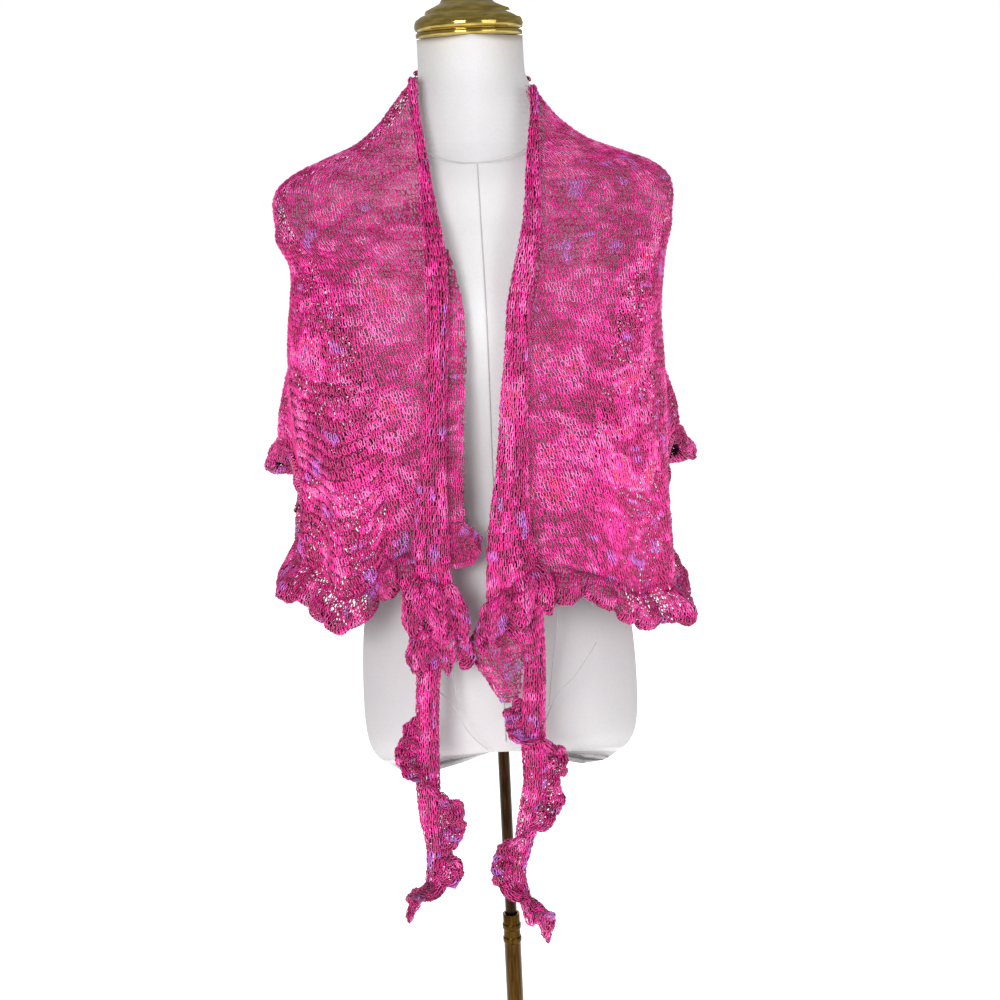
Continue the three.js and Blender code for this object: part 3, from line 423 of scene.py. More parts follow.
def lay_yarn(grid, stitch, course, yarn, seed, points=7, depth=0.95, purl=None, slant=0.0, drift=0.0, loose=0.18,
             fullness=None, rise=0.66, ripple=0.35, hollow=False):
    random = np.random.default_rng(seed)
    normals = unit(np.cross(np.gradient(grid, axis=1), np.gradient(grid, axis=0)))
    near = slice(None) if hollow else slice(len(grid) // 3)
    middle = grid.mean(1, keepdims=True) if hollow else grid * (0, 0, 1)
    normals *= np.sign(((grid - middle)[near] * normals[near]).sum())
    climb = np.concatenate([[0], np.cumsum(np.linalg.norm(np.diff(grid, axis=0), axis=2).mean(1))])
    rows_apart = np.linalg.norm(np.gradient(grid, axis=0), axis=2, keepdims=True)
    stretch = np.clip(rows_apart / rows_apart.mean(1, keepdims=True), 0.85, 1.35)
    rise = rise * course
    rows = max(2, int(round((climb[-1] - 2 * rise) / course)) + 1)
    path, thick, fabric, facing = [], [], [], []
    for k in range(rows):
        level = mix(rise, climb[-1] - rise, k / (rows - 1))
        at = np.interp(level, climb, np.arange(len(climb)))
        whole = min(int(at), grid.shape[0] - 2)
        line = mix(grid[whole], grid[whole + 1], at - whole)
        length = np.concatenate([[0], np.cumsum(np.linalg.norm(np.diff(line, axis=0), axis=1))])
        loops = max(1.0, (length[-1] - 2 * yarn) / stitch)
        count = max(4, int(loops * points))
        u = np.linspace(0, loops, count)
        phase = math.tau * (u + drift * k)
        jitter = [wander(random, count, points * 0.6) for _ in range(3)]
        y = rise * np.cos(phase) * (1 + 0.2 * jitter[0]) + loose * course * jitter[1]
        x = yarn + u * stitch + 0.2 * stitch * np.sin(2 * phase) + loose * stitch * jitter[2] + slant * y
        ripples = np.sin(x / 13 + 0.37 * k) + np.sin(x / 29 - 0.23 * k)
        y = y + ripple * course * ripples * min(1, k / 3, (rows - 1 - k) / 3)
        z = -depth * yarn * np.cos(2 * phase) + 0.5 * yarn * jitter[1]
        column = np.interp(x, length, np.arange(len(length)))
        row = np.interp(level - y, climb, np.arange(len(climb)))
        outward, spots = blend_at(normals, row, column), blend_at(grid, row, column)
        if purl is not None:
            back = k % 2 * 2 - 1
            z = np.where(purl(spots), -back * (z + GARTER_RIDGE), z)
        spots = spots + outward * z[:, None]
        slub = yarn * (1 + 0.24 * wander(random, count, points * 0.35) + 0.12 * wander(random, count, points * 4))
        slub = slub * blend_at(stretch, row, column)[:, 0]
        if fullness is not None:
            slub = slub * fullness(spots)
        ends = np.stack([column / (grid.shape[1] - 1), row / (grid.shape[0] - 1)], -1)
        if k % 2:
            spots, slub, ends, outward = spots[::-1], slub[::-1], ends[::-1], outward[::-1]
        path.append(spots), thick.append(slub), fabric.append(ends), facing.append(outward)
    return [np.concatenate(rows) for rows in (path, thick, fabric, facing)]


print("one loop of the wander:", np.round(wander(np.random.default_rng(1), 6, 2), 2))

# %% [markdown]
# The yarn is a slack slubby strand that lies rather flat, so its section is a low triangle shaded
# smooth: thousands of loops have to stay light, and at the width of a yarn nobody sees its corners. A
# curve in Z-Up twist starts each section level, and its tilt turns the low side down onto the cloth.
# The mesh of a bevelled curve starts with its two caps and goes on ring by ring, so each point of the
# yarn finds its own ring, and takes three facts with it: its dye number, which also carries painted
# shade lower down, its place in the cloth, and the crown number, which is 1 along the top of the strand
# and 0 at its sides and is used to paint a highlight along the top and shade at the sides.

# %% From yarn to a piece of cloth
section = bpy.data.curves.new("yarn_section", "CURVE")
corners = section.splines.new("POLY")
corners.points.add(2)
YARN_HALF_WIDTH, YARN_CROWN, YARN_BASE = 1.22, 0.55, -0.28      # as shares of the yarn's size
triangle = (YARN_HALF_WIDTH, YARN_BASE), (-YARN_HALF_WIDTH, YARN_BASE), (0, YARN_CROWN)
for point, (wide, high) in zip(corners.points, triangle):
    point.co = (wide * MM, high * MM, 0, 1)
corners.use_cyclic_u = True
yarn_section = bpy.data.objects.new("yarn_section", section)
bpy.context.scene.collection.objects.link(yarn_section)

DYE_STEP, DYE_PATCH, PAINTED_SHADE_BELOW, CAP_POINTS = 16, 0.014, 0.09, 6
cloth_pieces = {}


def knit(name, nodes, grid, held, rests_on, seed, finish="knit", streaks=0.0, **stitches):
    path, thick, fabric, facing = lay_yarn(grid, seed=seed, **stitches)
    mesh = tube(name, [(path, thick)], 1, section=yarn_section, facing=facing)
    ring = np.clip((np.arange(len(mesh.vertices)) - CAP_POINTS) // 3, 0, len(path) - 1)
    random = np.random.default_rng(seed + 500)
    width = np.linalg.norm(np.diff(grid, axis=1), axis=2).sum(1).mean() * MM
    length = np.linalg.norm(np.diff(grid, axis=0), axis=2).sum(0).mean() * MM
    down, over = mix(DYE_PATCH, 5 * DYE_PATCH, streaks), mix(DYE_PATCH, 0.3 * DYE_PATCH, streaks)
    patches = random.uniform(-1, 1, (int(length / down) + 3, int(width / over) + 3, 1))
    patch = blend_at(patches, fabric[:, 1] * length / down, fabric[:, 0] * width / over)[:, 0]
    # The dye number is lowered below 1080 mm: painted shade that makes the lower cloth darker.
    dye_and_shade = 0.5 + 0.3 * patch + 0.2 * wander(random, len(path), DYE_STEP) - PAINTED_SHADE_BELOW * ease((1080 - path[:, 2]) / 160)
    mesh.attributes.new("dye_and_shade", "FLOAT", "POINT").data.foreach_set("value", dye_and_shade[ring].astype(np.float32))
    # The crown number marks the top of each strand; the material paints a highlight there and shade at the sides.
    crown = (np.arange(len(mesh.vertices)) - CAP_POINTS) % 3 == 2
    mesh.attributes.new("crown", "FLOAT", "POINT").data.foreach_set("value", crown.astype(np.float32))
    uv = mesh.uv_layers.new(name="OFBake")
    corner = np.zeros(len(mesh.loops), np.int32)
    mesh.loops.foreach_get("vertex_index", corner)
    uv.data.foreach_set("uv", np.clip(fabric[ring[corner]], 0.002, 0.998).astype(np.float32).ravel())
    piece = finish_piece(name, mesh)
    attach(piece, "form")
    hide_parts(*nodes)
    faces = 2 * len(mesh.polygons)
    cloth_pieces[name] = faces
    cover = sum(p.area for p in mesh.polygons) / 2 / width / length
    print(f"{name}: {width / MM:.0f} x {length / MM:.0f} mm, {faces} triangles, cover {cover:.2f}")
    return piece


# %% [markdown]
# ## The fronts
# Each front starts under its rolled edge and goes round to the side, and from the neck down to the
# ruffled hem. The photo's left front shows ridges of plain garter rows low on its side, and elsewhere
# the loops slant, so the two fronts get their own slant.

# %% Fronts
SIDE_ANGLE, SEAM_ANGLE, HEM_ROLL_HEIGHT, ROLL_OVERLAP = 95, 0.12, 930, 0.6
HEM_LEFT = table("angle z", """18 958, 26 954, 33 941, 40 914, 48 904, 57 914, 70 927, 88 934, 93 956, 97 1016,
  101 1044, 107 1048, 118 1050, 140 1004, 162 934, 180 908, 198 934""")
HEM_RIGHT = table("angle z", """16 932, 24 926, 32 917, 40 902, 48 888, 62 884, 78 884, 88 898, 93 928, 97 1000,
  101 1034, 107 1038, 118 1040, 140 998, 162 934, 180 908, 198 934""")
NECK_EDGE = table("angle z", "0 1410, 100 1410, 180 1428, 260 1423, 360 1423")
ROLL_LEFT = table("z x width depth", """
  888 -62 42 17, 939 -66 40 17, 974 -64 37 16, 1032 -60 29 15, 1111 -53 24 14, 1192 -47 23 13, 1250 -46 22 12,
  1304 -51 16 11, 1350 -53 11 10, 1397 -56 10 9, 1422 -54 9 9""")
ROLL_RIGHT = table("z x width depth", """
  908 14 58 17, 930 14 56 17, 967 13 47 16, 1026 17 35 15, 1105 23 28 14, 1165 28 25 13, 1204 32 24 13,
  1258 44 21 12, 1301 52 17 11, 1352 55 13 10, 1390 56 10 9, 1409 54 9 9""")
SIDES = {-1: (HEM_LEFT, ROLL_LEFT, "left"), 1: (HEM_RIGHT, ROLL_RIGHT, "right")}


def panel_heights(top, hem):
    resting = mix(top, REST_FROM, np.linspace(0, 1, 60)[:, None])
    hanging = mix(REST_FROM, hem, np.linspace(0, 1, 61)[1:, None])
    return np.concatenate([np.broadcast_to(resting, (60, len(hem))), hanging])


def front_grid(side, columns=110):
    hems, roll, _ = SIDES[side]
    hem_start = side * angle_on(cloth_point, read(roll, HEM_ROLL_HEIGHT, "x"), HEM_ROLL_HEIGHT)
    s = np.linspace(0, 1, columns)
    hem = read(hems, mix(hem_start, SIDE_ANGLE, s), "z")
    z = panel_heights(read(NECK_EDGE, side * SIDE_ANGLE % 360, "z"), hem)
    start = angle_on(cloth_point, read(roll, z, "x") - ROLL_OVERLAP * side, z)
    return cloth_point(mix(start, side * (SIDE_ANGLE - SEAM_ANGLE), s), z)


GARTER_TOP, GARTER_EDGE = 1130, -110      # the garter rows lie below this height and beyond this distance


def low_left_side(point):
    return (point[..., 2] < GARTER_TOP) & (point[..., 0] < GARTER_EDGE)


def fuller_below(points):
    """The yarn is drawn thin where the cloth is stretched over the shoulders, and is full lower down,
    most of all at the sides, where nothing lies behind it."""
    lower = mix(1.1, 0.8, ease((points[:, 2] - 1120) / 160))
    beside = np.abs(points[:, 0])
    upper_side = 0.22 * ease((beside - 125) / 40) * ease((points[:, 2] - 1110) / 40) * ease((1300 - points[:, 2]) / 60)
    return lower + upper_side + 0.5 * ease((1110 - points[:, 2]) / 110) * ease((beside - 80) / 50)


LOOSE = {"loose": 0.24, "ripple": 0.3, "rise": 0.7}


fronts = {side: front_grid(side) for side in (-1, 1)}
knit("knit_front_left", ["front_panel_left"], fronts[-1][:, ::-1], "draped", [form], 11,
     stitch=5.8, course=5.8, yarn=0.81, slant=-0.3, drift=0.06, purl=low_left_side, fullness=fuller_below, **LOOSE)
knit("knit_front_right", ["front_panel_right"], fronts[1], "draped", [form], 12,
     stitch=5.8, course=5.8, yarn=0.81, slant=-0.35, drift=0.05, fullness=fuller_below, **LOOSE)

# %% [markdown]
# ## The back
# The back goes round from one side to the other and ends in a low curve. It is one stretch of cloth,
# but a single mesh of its loops would be too heavy for some programs, so it is knitted as two halves
# that meet at the centre back.

# %% Back
def back_grid(start, end, columns=110):
    angle = np.linspace(start, end, columns)
    hem = np.where(angle < 180, read(HEM_RIGHT, angle, "z"), read(HEM_LEFT, 360 - angle, "z"))
    return cloth_point(angle, panel_heights(read(NECK_EDGE, angle, "z"), hem))


BACK_START, BACK_END = SIDE_ANGLE + SEAM_ANGLE, 360 - SIDE_ANGLE - SEAM_ANGLE
knit("knit_back_right", ["back_panel"], back_grid(BACK_START, 180), "draped", [form], 13,
     stitch=6.6, course=6.4, yarn=0.98, points=6, slant=0.25, drift=-0.05, fullness=fuller_below, **LOOSE)
knit("knit_back_left", ["back_panel"], back_grid(180, BACK_END), "draped", [form], 14,
     stitch=6.6, course=6.4, yarn=0.98, points=6, slant=-0.25, drift=0.05, fullness=fuller_below, **LOOSE)

# %% [markdown]
# ## Rolled edges and tie ends
# Plain knitting curls at its edges. Down each front it has rolled into a soft band, which goes on below
# the hem as a long narrow tie end. The roll is an oval, closed next to the body, that changes its width
# down its length, and a tie end laps over itself inside. The loops are long and narrow, because the
# band is pulled lengthwise.

# %% Rolls and ties
ROLL_GAP, TILT_REACH, TIE_SEAM = 1.7, 70, 0.9
ROLL_LAP, TIE_LAP = 10, 130
TIE_LEFT = table("z x y width depth", """
  580 -90 -116 12 11, 606 -83 -116 17 12, 640 -79 -117 20 13, 675 -82 -118 24 14, 715 -83 -119 26 15,
  770 -80 -120 25 15, 832 -76 -122 26 16, 868 -70 -124 32 17, 888 -62 -124 42 17""")
TIE_RIGHT = table("z x y width depth", """
  546 18 -116 12 11, 572 13 -116 15 11, 605 6 -117 17 12, 637 13 -117 20 13, 670 19 -118 22 14,
  708 28 -119 27 15, 752 28 -120 27 15, 795 30 -121 25 15, 842 32 -123 24 16, 875 27 -125 34 17,
  908 14 -125 58 17""")
TIES = {-1: (TIE_LEFT, 0), 1: (TIE_RIGHT, 40)}       # each tie and how much its top edge slopes


def roll_frame(roll, z):
    angle = angle_on(cloth_point, read(roll, z, "x"), z)
    out = normal_of(cloth_point, angle, z) * (1, 1, 0)
    out = unit(out)
    across = stack(-out[..., 1], out[..., 0], 0)
    depth = read(roll, z, "depth")
    middle = cloth_point(angle, z) + out * (WALL / 2 + ROLL_GAP + depth / 2)[..., None]
    return middle, across, out, read(roll, z, "width"), depth


def tie_frame(tie, z):
    z = np.asarray(z, float)
    middle = stack(read(tie, z, "x"), read(tie, z, "y"), z)
    across, out = np.zeros_like(middle), np.zeros_like(middle)
    across[..., 0], out[..., 1] = 1, -1
    return middle, across, out, read(tie, z, "width"), read(tie, z, "depth")


def oval_point(place, angle, outside=-1.0):
    middle, across, out, width, depth = place
    wide = (width / 2 + outside) * np.cos(np.radians(angle))
    deep = (depth / 2 + outside) * np.sin(np.radians(angle))
    return middle + across * wide[..., None] + out * deep[..., None]


def curl_grid(frame_at, top, bottom, slope, lap, flute=0.8):
    """An oval curl that starts next to the body and laps over its own start by an angle."""
    z = np.linspace(top, bottom, 110)[:, None] * np.ones((1, 60))
    angle = np.ones((110, 1)) * np.linspace(-90, 270 + lap, 60)
    wave = flute * np.sin(np.radians(3 * angle + 1.7 * z)) * np.sin(z / 37)
    middle, across, out, width, depth = frame_at(z)
    inward = 1 - 0.42 * ease((angle - 200) / (70 + lap))
    points = oval_point((middle, across, out, width * inward, depth * inward), angle, -1.0 + wave)
    points[..., 2] += slope(z) * np.cos(np.radians(angle)) / 2
    return points


BAND = {"stitch": 4.4, "course": 7.2, "yarn": 0.82, "depth": 1.0, "loose": 0.2, "ripple": 0.12,
        "streaks": 1.0, "hollow": True}
for side in (-1, 1):
    _, roll, word = SIDES[side]
    tie, slope = TIES[side]
    end, top = roll["z"][0], roll["z"][-1]
    knit(f"knit_roll_{word}", [f"front_roll_{word}"],
         curl_grid(lambda z: roll_frame(roll, z), top, end,
                   lambda z: slope * ease((end + TILT_REACH - z) / TILT_REACH), ROLL_LAP),
         "draped", [form], 20 + side, **BAND)
    knit(f"knit_tie_{word}", [f"tie_end_{word}"],
         curl_grid(lambda z: tie_frame(tie, z), end - TIE_SEAM, tie["z"][0],
                   lambda z: slope * ease((z - end + TILT_REACH) / TILT_REACH), TIE_LAP),
         "hung", [f"knit_roll_{word}"], 24 + side, **BAND)

# %% [markdown]
# ## Neck edge and the strip inside the left roll
# Behind the neck the edge curls outwards in a thin roll. On the photo's left, a second darker strip
# of the same front shows between the roll and the opening, with a small ruffle at its lower end.

# %% Neck edge and inner strip
NECK_CURL, NECK_CURL_OUT, NECK_CURL_FROM, NECK_CURL_TURN = 3.2, 2.2, 114, (-110, 200)
bearing = np.linspace(NECK_CURL_FROM, 360 - NECK_CURL_FROM, 80)[:, None] * np.ones((1, 16))
turn = np.radians(np.linspace(*NECK_CURL_TURN, 16))[None, :] * np.ones((80, 1))
edge = cloth_point(bearing, read(NECK_EDGE, bearing, "z"))
neck_out = unit(edge * (1, 1, 0))
neck_grid = edge + neck_out * (NECK_CURL_OUT + (NECK_CURL - 1) * np.cos(turn))[..., None]
neck_grid[..., 2] += NECK_CURL + 0.3 + (NECK_CURL - 1) * np.sin(turn)
knit("knit_neck_roll", ["neck_roll"], neck_grid, "draped", [form], 31, stitch=3.6, course=4.8, yarn=0.7)

INNER_EDGE = table("z x", "985 -31, 1030 -30, 1077 -27, 1123 -24, 1175 -21, 1205 -23, 1232 -28, 1256 -34")
INNER_RUFFLE = table("s x z to_x to_z", """
  0 -31 985 -15 968, 0.35 -37 984.4 -18 948, 0.7 -43 984.4 -31 938, 1 -50 984.4 -47 936""")
INNER_TUCK, INNER_WAVE, INNER_WAVES = 1.2, 3.5, 3
z = np.linspace(1256, 985, 90)[:, None] * np.ones((1, 20))
s = np.linspace(0, 1, 20)[None, :]
x = mix(read(ROLL_LEFT, z, "x") + INNER_TUCK, read(INNER_EDGE, z, "x"), s)
knit("knit_inner_strip", ["front_inner_left"], cloth_point(angle_on(cloth_point, x, z), z), "draped", [form], 32,
     finish="ruffle", stitch=4.4, course=5.2, yarn=0.82)
s, v = np.linspace(0, 1, 60)[None, :], np.linspace(0, 1, 24)[:, None]
x = mix(read(INNER_RUFFLE, s, "x"), read(INNER_RUFFLE, s, "to_x"), v)
z = mix(read(INNER_RUFFLE, s, "z") - 0.5, read(INNER_RUFFLE, s, "to_z"), v)
grid = cloth_point(angle_on(cloth_point, x, z), z)
grid[..., 1] += INNER_WAVE * v * (np.sin(math.tau * INNER_WAVES * s) + 0.6)
knit("knit_inner_ruffle", ["inner_ruffle_left"], grid, "gathered", ["knit_inner_strip"], 33,
     finish="ruffle", stitch=4.2, course=4.4, yarn=0.76)

# %% [markdown]
# ## The ruffled hem
# Many extra stitches are added on the last rows, so the edge has far more length than the cloth above
# it. It has to go somewhere, so it puffs: each lobe goes out, down and back up behind itself, widest at
# its crest and pinched in between two lobes. A few crossed waves dent the surface, so that no two lobes
# are alike.

# %% Hem ruffles
RUFFLE_DROP, RUFFLE_LEAN, RUFFLE_UNEVEN, RUFFLE_SIDEWAYS, RUFFLE_FLARE = 30, 0.35, 0.25, 5, 2
PUFF_WIDE, PUFF_NARROW, PUFF_TURN, LOBE_SHORT = 15, 3, 235, 0.62
CORNER_ANGLE, CORNER_WIDTH = 98, 7      # where the hem climbs at each side, its ruffle lies flatter
SIDE_HALF, FRONT_HALF = 199, 115
FLARES = table("angle width out", "-108 10 18, -97 4 -12, -82 11 16, 77 10 10, 97 4 -12, 108 10 19")
SIDE_LOBE_DROP, SIDE_LOBE_ANGLE, SIDE_LOBE_WIDTH = 15, 109, 8      # the lobes that hang at each side, behind the corner


def along_line(line, share):
    at = np.linspace(0, 1, len(line))
    return np.stack([np.interp(share, at, line[:, i]) for i in range(3)], -1)


def crumple(points, size, depth, seed):
    """Soft dents that follow a few crossed waves of random direction."""
    random = np.random.default_rng(seed)
    push = np.zeros(points.shape[:-1])
    for _ in range(7):
        way = random.normal(size=3)
        along = (points @ (way / np.linalg.norm(way))) * math.tau
        push += np.sin(along / (size * random.uniform(0.7, 1.5)) + random.uniform(0, 6))
    normals = unit(np.cross(np.gradient(points, axis=1), np.gradient(points, axis=0)))
    return points + normals * (depth * push / 2.5)[..., None]


def curled(v, turn):
    """The section of a puffed lobe from 0 to 1 wide and high: out, down and back up behind itself."""
    angle = v * math.radians(turn)
    return 0.8 * np.sin(angle) + 0.3 * (1 - np.cos(angle)), (1 - np.cos(angle)) / 2


def hem_ruffle(hem, start, end, waves, seed):
    s = np.linspace(0, 1, waves * 24 + 1)
    v = np.linspace(0, 1, 26)[:, None]
    share = mix(start + 0.0007, end - 0.0007, s)
    root = along_line(hem, share)
    run = unit(along_line(hem, np.minimum(1, share + 0.05)) - along_line(hem, np.maximum(0, share - 0.05)))
    out = unit(stack(root[:, 0] / SIDE_HALF ** 2, root[:, 1] / FRONT_HALF ** 2, 0))
    square = unit(np.cross(out, run))
    square *= -np.sign(square[:, 2:])
    hang = unit(mix(np.array((0, 0, -1.0)), square, RUFFLE_LEAN))
    root = root - square * 1.5
    bearing = np.degrees(np.arctan2(root[:, 0], -root[:, 1]))
    flare = RUFFLE_FLARE + sum(o * np.exp(-((bearing - a) / w) ** 2) for a, w, o in zip(*FLARES.values()))
    swell = np.sin(math.tau * s * 3.5) * np.sin(math.tau * s * 1.5) + 0.5 * np.sin(math.tau * s * waves * 0.37)
    uneven = 1 + RUFFLE_UNEVEN * swell
    uneven = uneven * (1 - 0.75 * np.exp(-((np.abs(bearing) - CORNER_ANGLE) / CORNER_WIDTH) ** 2))
    phase = math.radians(90) + math.tau * (waves * s + 0.1 * np.sin(math.tau * s * 3))
    crest = np.abs(np.sin(phase / 2)) ** 0.6
    bulge, down = curled(v, PUFF_TURN)
    side_drop = SIDE_LOBE_DROP * np.exp(-((np.abs(bearing) - SIDE_LOBE_ANGLE) / SIDE_LOBE_WIDTH) ** 2)
    drop = (RUFFLE_DROP * mix(1, uneven, 0.5) * mix(LOBE_SHORT, 1.08, crest) + side_drop) * down
    stand = mix(PUFF_NARROW, PUFF_WIDE, crest) * np.clip(uneven, 0, 1.3) * bulge + flare * down
    sideways = -RUFFLE_SIDEWAYS * down * np.sin(phase)
    points = root + hang * drop[..., None] + out * stand[..., None] + run * sideways[..., None]
    return crumple(points, 17, 1.2, seed)


FRONT_START, SIDE_SHARE = 0.06, 0.24
whole_back_hem = back_grid(BACK_START, BACK_END, 220)[-1]
RUFFLE_KNIT = {"finish": "ruffle", "stitch": 5.2, "course": 5.2, "yarn": 0.83, "loose": 0.26,
               "depth": 1.1, "ripple": 0.15}
for name, hem, start, end, waves, seed in (
        ("front_left", fronts[-1][-1], FRONT_START, 1, 9, 41), ("side_left", whole_back_hem, 1 - SIDE_SHARE, 1, 8, 42),
        ("back", whole_back_hem, SIDE_SHARE, 1 - SIDE_SHARE, 15, 43),
        ("side_right", whole_back_hem, 0, SIDE_SHARE, 8, 44), ("front_right", fronts[1][-1], FRONT_START, 1, 9, 45)):
    knit(f"knit_ruffle_{name}", [f"hem_ruffle_{name}"], hem_ruffle(hem, start, end, waves, seed), "gathered",
         ["knit_back_left" if "left" in name else "knit_back_right"], seed, **RUFFLE_KNIT)

# %% [markdown]
# ## Ruffles of the tie ends
# Where each roll turns into its tie end, the ruffle goes round it in tiers. Further down it winds round
# the tie like the thread of a screw, wide where a lobe stands out and almost nothing between lobes.

# %% Tie ruffles, tiers and drape
FRILL_WAVE, FRILL_SIDEWAYS, FRILL_CURL = 0.3, 8, 215


def tier_grid(side, start, end, top, tilt, drop, reach, waves):
    _, roll, _ = SIDES[side]
    tie, slope = TIES[side]
    s, v = np.linspace(0, 1, waves * 24)[None, :], np.linspace(0, 1, 24)[:, None]
    phase = math.radians(90) + math.tau * waves * s
    around = mix(start, end, s)
    across = np.cos(np.radians(around)) * np.ones_like(v)
    z = top + tilt / 2 * across
    level = z - slope / 2 * across
    crest = np.abs(np.sin(phase / 2)) ** 0.8
    bulge, down = curled(v, FRILL_CURL)
    angle = around - FRILL_SIDEWAYS * down * np.sin(phase)
    closed = np.minimum(1, 6 * s * (1 - s)) ** 0.5
    stand = reach * mix(FRILL_WAVE, 1, crest) * bulge * closed
    on_roll = oval_point(roll_frame(roll, level), angle, stand)
    on_tie = oval_point(tie_frame(tie, level), angle, stand)
    points = np.where((level > roll["z"][0])[..., None], on_roll, on_tie)
    points[..., 2] = z - drop * mix(0.6, 1.1, crest) * down
    return crumple(points, 15, 1.3, waves)


TIERS = (("left_upper", -1, 200, -20, 930, -14, 58, 16, 4), ("left_lower", -1, 200, -24, 882, 4, 44, 15, 4),
         ("right", 1, 186, -10, 924, 40, 48, 15, 4))
for seed, (name, side, *sizes) in enumerate(TIERS, 51):
    knit(f"knit_tier_{name}", [f"end_ruffle_{name}"], tier_grid(side, *sizes), "gathered",
         [f"knit_roll_{SIDES[side][2]}"], seed, **RUFFLE_KNIT)

WIND_LEFT = table("z angle width", """
  583 190 20, 601 178 20, 608 60 11, 616 25 22, 630 20 18, 640 30 8, 656 15 21, 690 10 23, 706 60 8, 738 168 21,
  764 180 18, 786 190 6""")
WIND_RIGHT = table("z angle width", """
  549 0 14, 574 25 24, 592 120 14, 604 178 20, 638 180 20, 650 120 8, 668 30 20, 694 10 22, 706 15 12, 722 10 20,
  746 15 18, 756 90 7, 764 172 16, 784 180 18, 798 190 6""")
TIE_WAVE_PITCH, TIE_WAVE_MOST, TIE_WAVE_SHARE, TIP_DROP, PUFF_MOST = 20, 6, 0.35, 24, 8


def winding_grid(side, wind):
    """A ruffle doubled back on itself, so that each lobe is a hollow puff beside the tie."""
    tie, _ = TIES[side]
    low, high = wind["z"][0], wind["z"][-1]
    waves = round((high - low) / TIE_WAVE_PITCH)
    s, v = np.linspace(0, 1, waves * 18)[:, None], np.linspace(0, 1, 28)[None, :]
    z = mix(low, high, s) * np.ones_like(v)
    angle, width = read(wind, z, "angle"), read(wind, z, "width")
    phase = math.radians(90) + math.tau * waves * s
    place = tie_frame(tie, z)
    root = oval_point(place, angle, -1.5)
    out = unit(oval_point(place, angle, 20.0) - root)
    beside = stack(-out[..., 1], out[..., 0], 0)
    reach, puff = np.sin(math.pi * v) ** 0.8, -np.cos(math.pi * v)
    swing = np.minimum(TIE_WAVE_MOST, width * TIE_WAVE_SHARE) * reach * np.sin(phase)
    thick = np.minimum(PUFF_MOST, 0.38 * width) * (0.35 + 0.65 * reach) * (1 + 0.3 * np.cos(2 * phase))
    outward = out * (width * reach * (0.9 + 0.12 * np.cos(2 * phase)))[..., None]
    points = root + outward + beside * (swing + thick * puff)[..., None]
    points[..., 2] -= reach * (2 + TIP_DROP * (1 - s) ** 6 - 3.5 * np.sin(2 * phase))
    return crumple(points, 14, 1.4, waves)


for side, wind, seed in ((-1, WIND_LEFT, 61), (1, WIND_RIGHT, 62)):
    word = SIDES[side][2]
    knit(f"knit_winding_{word}", [f"tie_ruffle_{word}"], winding_grid(side, wind), "gathered",
         [f"knit_tie_{word}"], seed, **{**RUFFLE_KNIT, "stitch": 5.0, "hollow": True})

DRAPE = table("z left right fold", """
  794 -5 15 3, 808 -11 17 8, 824 -21 20.2 13, 838 -28 20 17, 852 -34 18 17, 863 -32 16 16, 884 -22 12 10""")
DRAPE_DEPTH, DRAPE_WAVE, DRAPE_PITCH = -119, 5, 24
z = np.linspace(884, 794, 70)[:, None] * np.ones((1, 40))
s = np.linspace(0, 1, 40)[None, :]
x = mix(read(DRAPE, z, "left"), read(DRAPE, z, "right"), s)
wave = DRAPE_WAVE * (1 - s) ** 2 * np.sin(math.tau * (863 - z) / DRAPE_PITCH)
y = DRAPE_DEPTH - read(DRAPE, z, "fold") * np.sin(math.pi * np.minimum(1, s * 1.15)) - wave
knit("knit_drape", ["end_drape_right"], stack(x, y, z), "hung", ["knit_roll_right"], 63, **RUFFLE_KNIT)
print("cloth in all:", sum(cloth_pieces.values()), "triangles")

# %% [markdown]
# ## Materials
# The yarn is slubby and shiny and dyed in uneven stretches: hot pink for the most part, with crimson,
# light pink, orchid and a little coral. The dye number holds patches in the cloth's own rows and
# columns, because neighbouring rows take the dye together, and a slow noise joins it; it also carries
# painted shade, darker lower down. The crown number paints a highlight along the top of each strand
# and shade at its sides, and the ruffles get a copy darkened by painted shade. A fine noise breaks up
# the ply, and a bump gives the glints.

# %% Material helpers
def material(name):
    made = bpy.data.materials.new(name)
    made.use_nodes = True
    nodes, links = made.node_tree.nodes, made.node_tree.links
    return made, nodes, links, nodes["Principled BSDF"]


def noise(nodes, links, scale, detail=2.0, stretch=(1, 1, 1)):
    place = nodes.new("ShaderNodeTexCoord")
    mapping = nodes.new("ShaderNodeMapping")
    mapping.inputs["Scale"].default_value = stretch
    texture = nodes.new("ShaderNodeTexNoise")
    texture.inputs["Scale"].default_value = scale
    texture.inputs["Detail"].default_value = detail
    links.new(place.outputs["Object"], mapping.inputs["Vector"])
    links.new(mapping.outputs["Vector"], texture.inputs["Vector"])
    return texture.outputs["Fac"]


def maths(nodes, links, operation, first, second):
    node = nodes.new("ShaderNodeMath")
    node.operation = operation
    for socket, value in zip(node.inputs, (first, second)):
        if isinstance(value, (int, float)):
            socket.default_value = value
        else:
            links.new(value, socket)
    return node.outputs[0]


def ramp(nodes, links, source, stops):
    node = nodes.new("ShaderNodeValToRGB")
    while len(node.color_ramp.elements) < len(stops):
        node.color_ramp.elements.new(0.5)
    for element, (place, colour) in zip(node.color_ramp.elements, stops):
        element.position = place
        element.color = (*colour, 1)
    links.new(source, node.inputs["Fac"])
    return node.outputs["Color"]


def tint(nodes, links, colour, factor, dark, light):
    """The colour times a number from dark to light, as factor goes from 0 to 1."""
    strength = nodes.new("ShaderNodeMapRange")
    strength.inputs["From Min"].default_value, strength.inputs["From Max"].default_value = 0.3, 0.7
    strength.inputs["To Min"].default_value, strength.inputs["To Max"].default_value = dark, light
    links.new(factor, strength.inputs["Value"])
    scale = nodes.new("ShaderNodeVectorMath")
    scale.operation = "SCALE"
    links.new(colour, scale.inputs[0])
    links.new(strength.outputs["Result"], scale.inputs["Scale"])
    return scale.outputs[0]


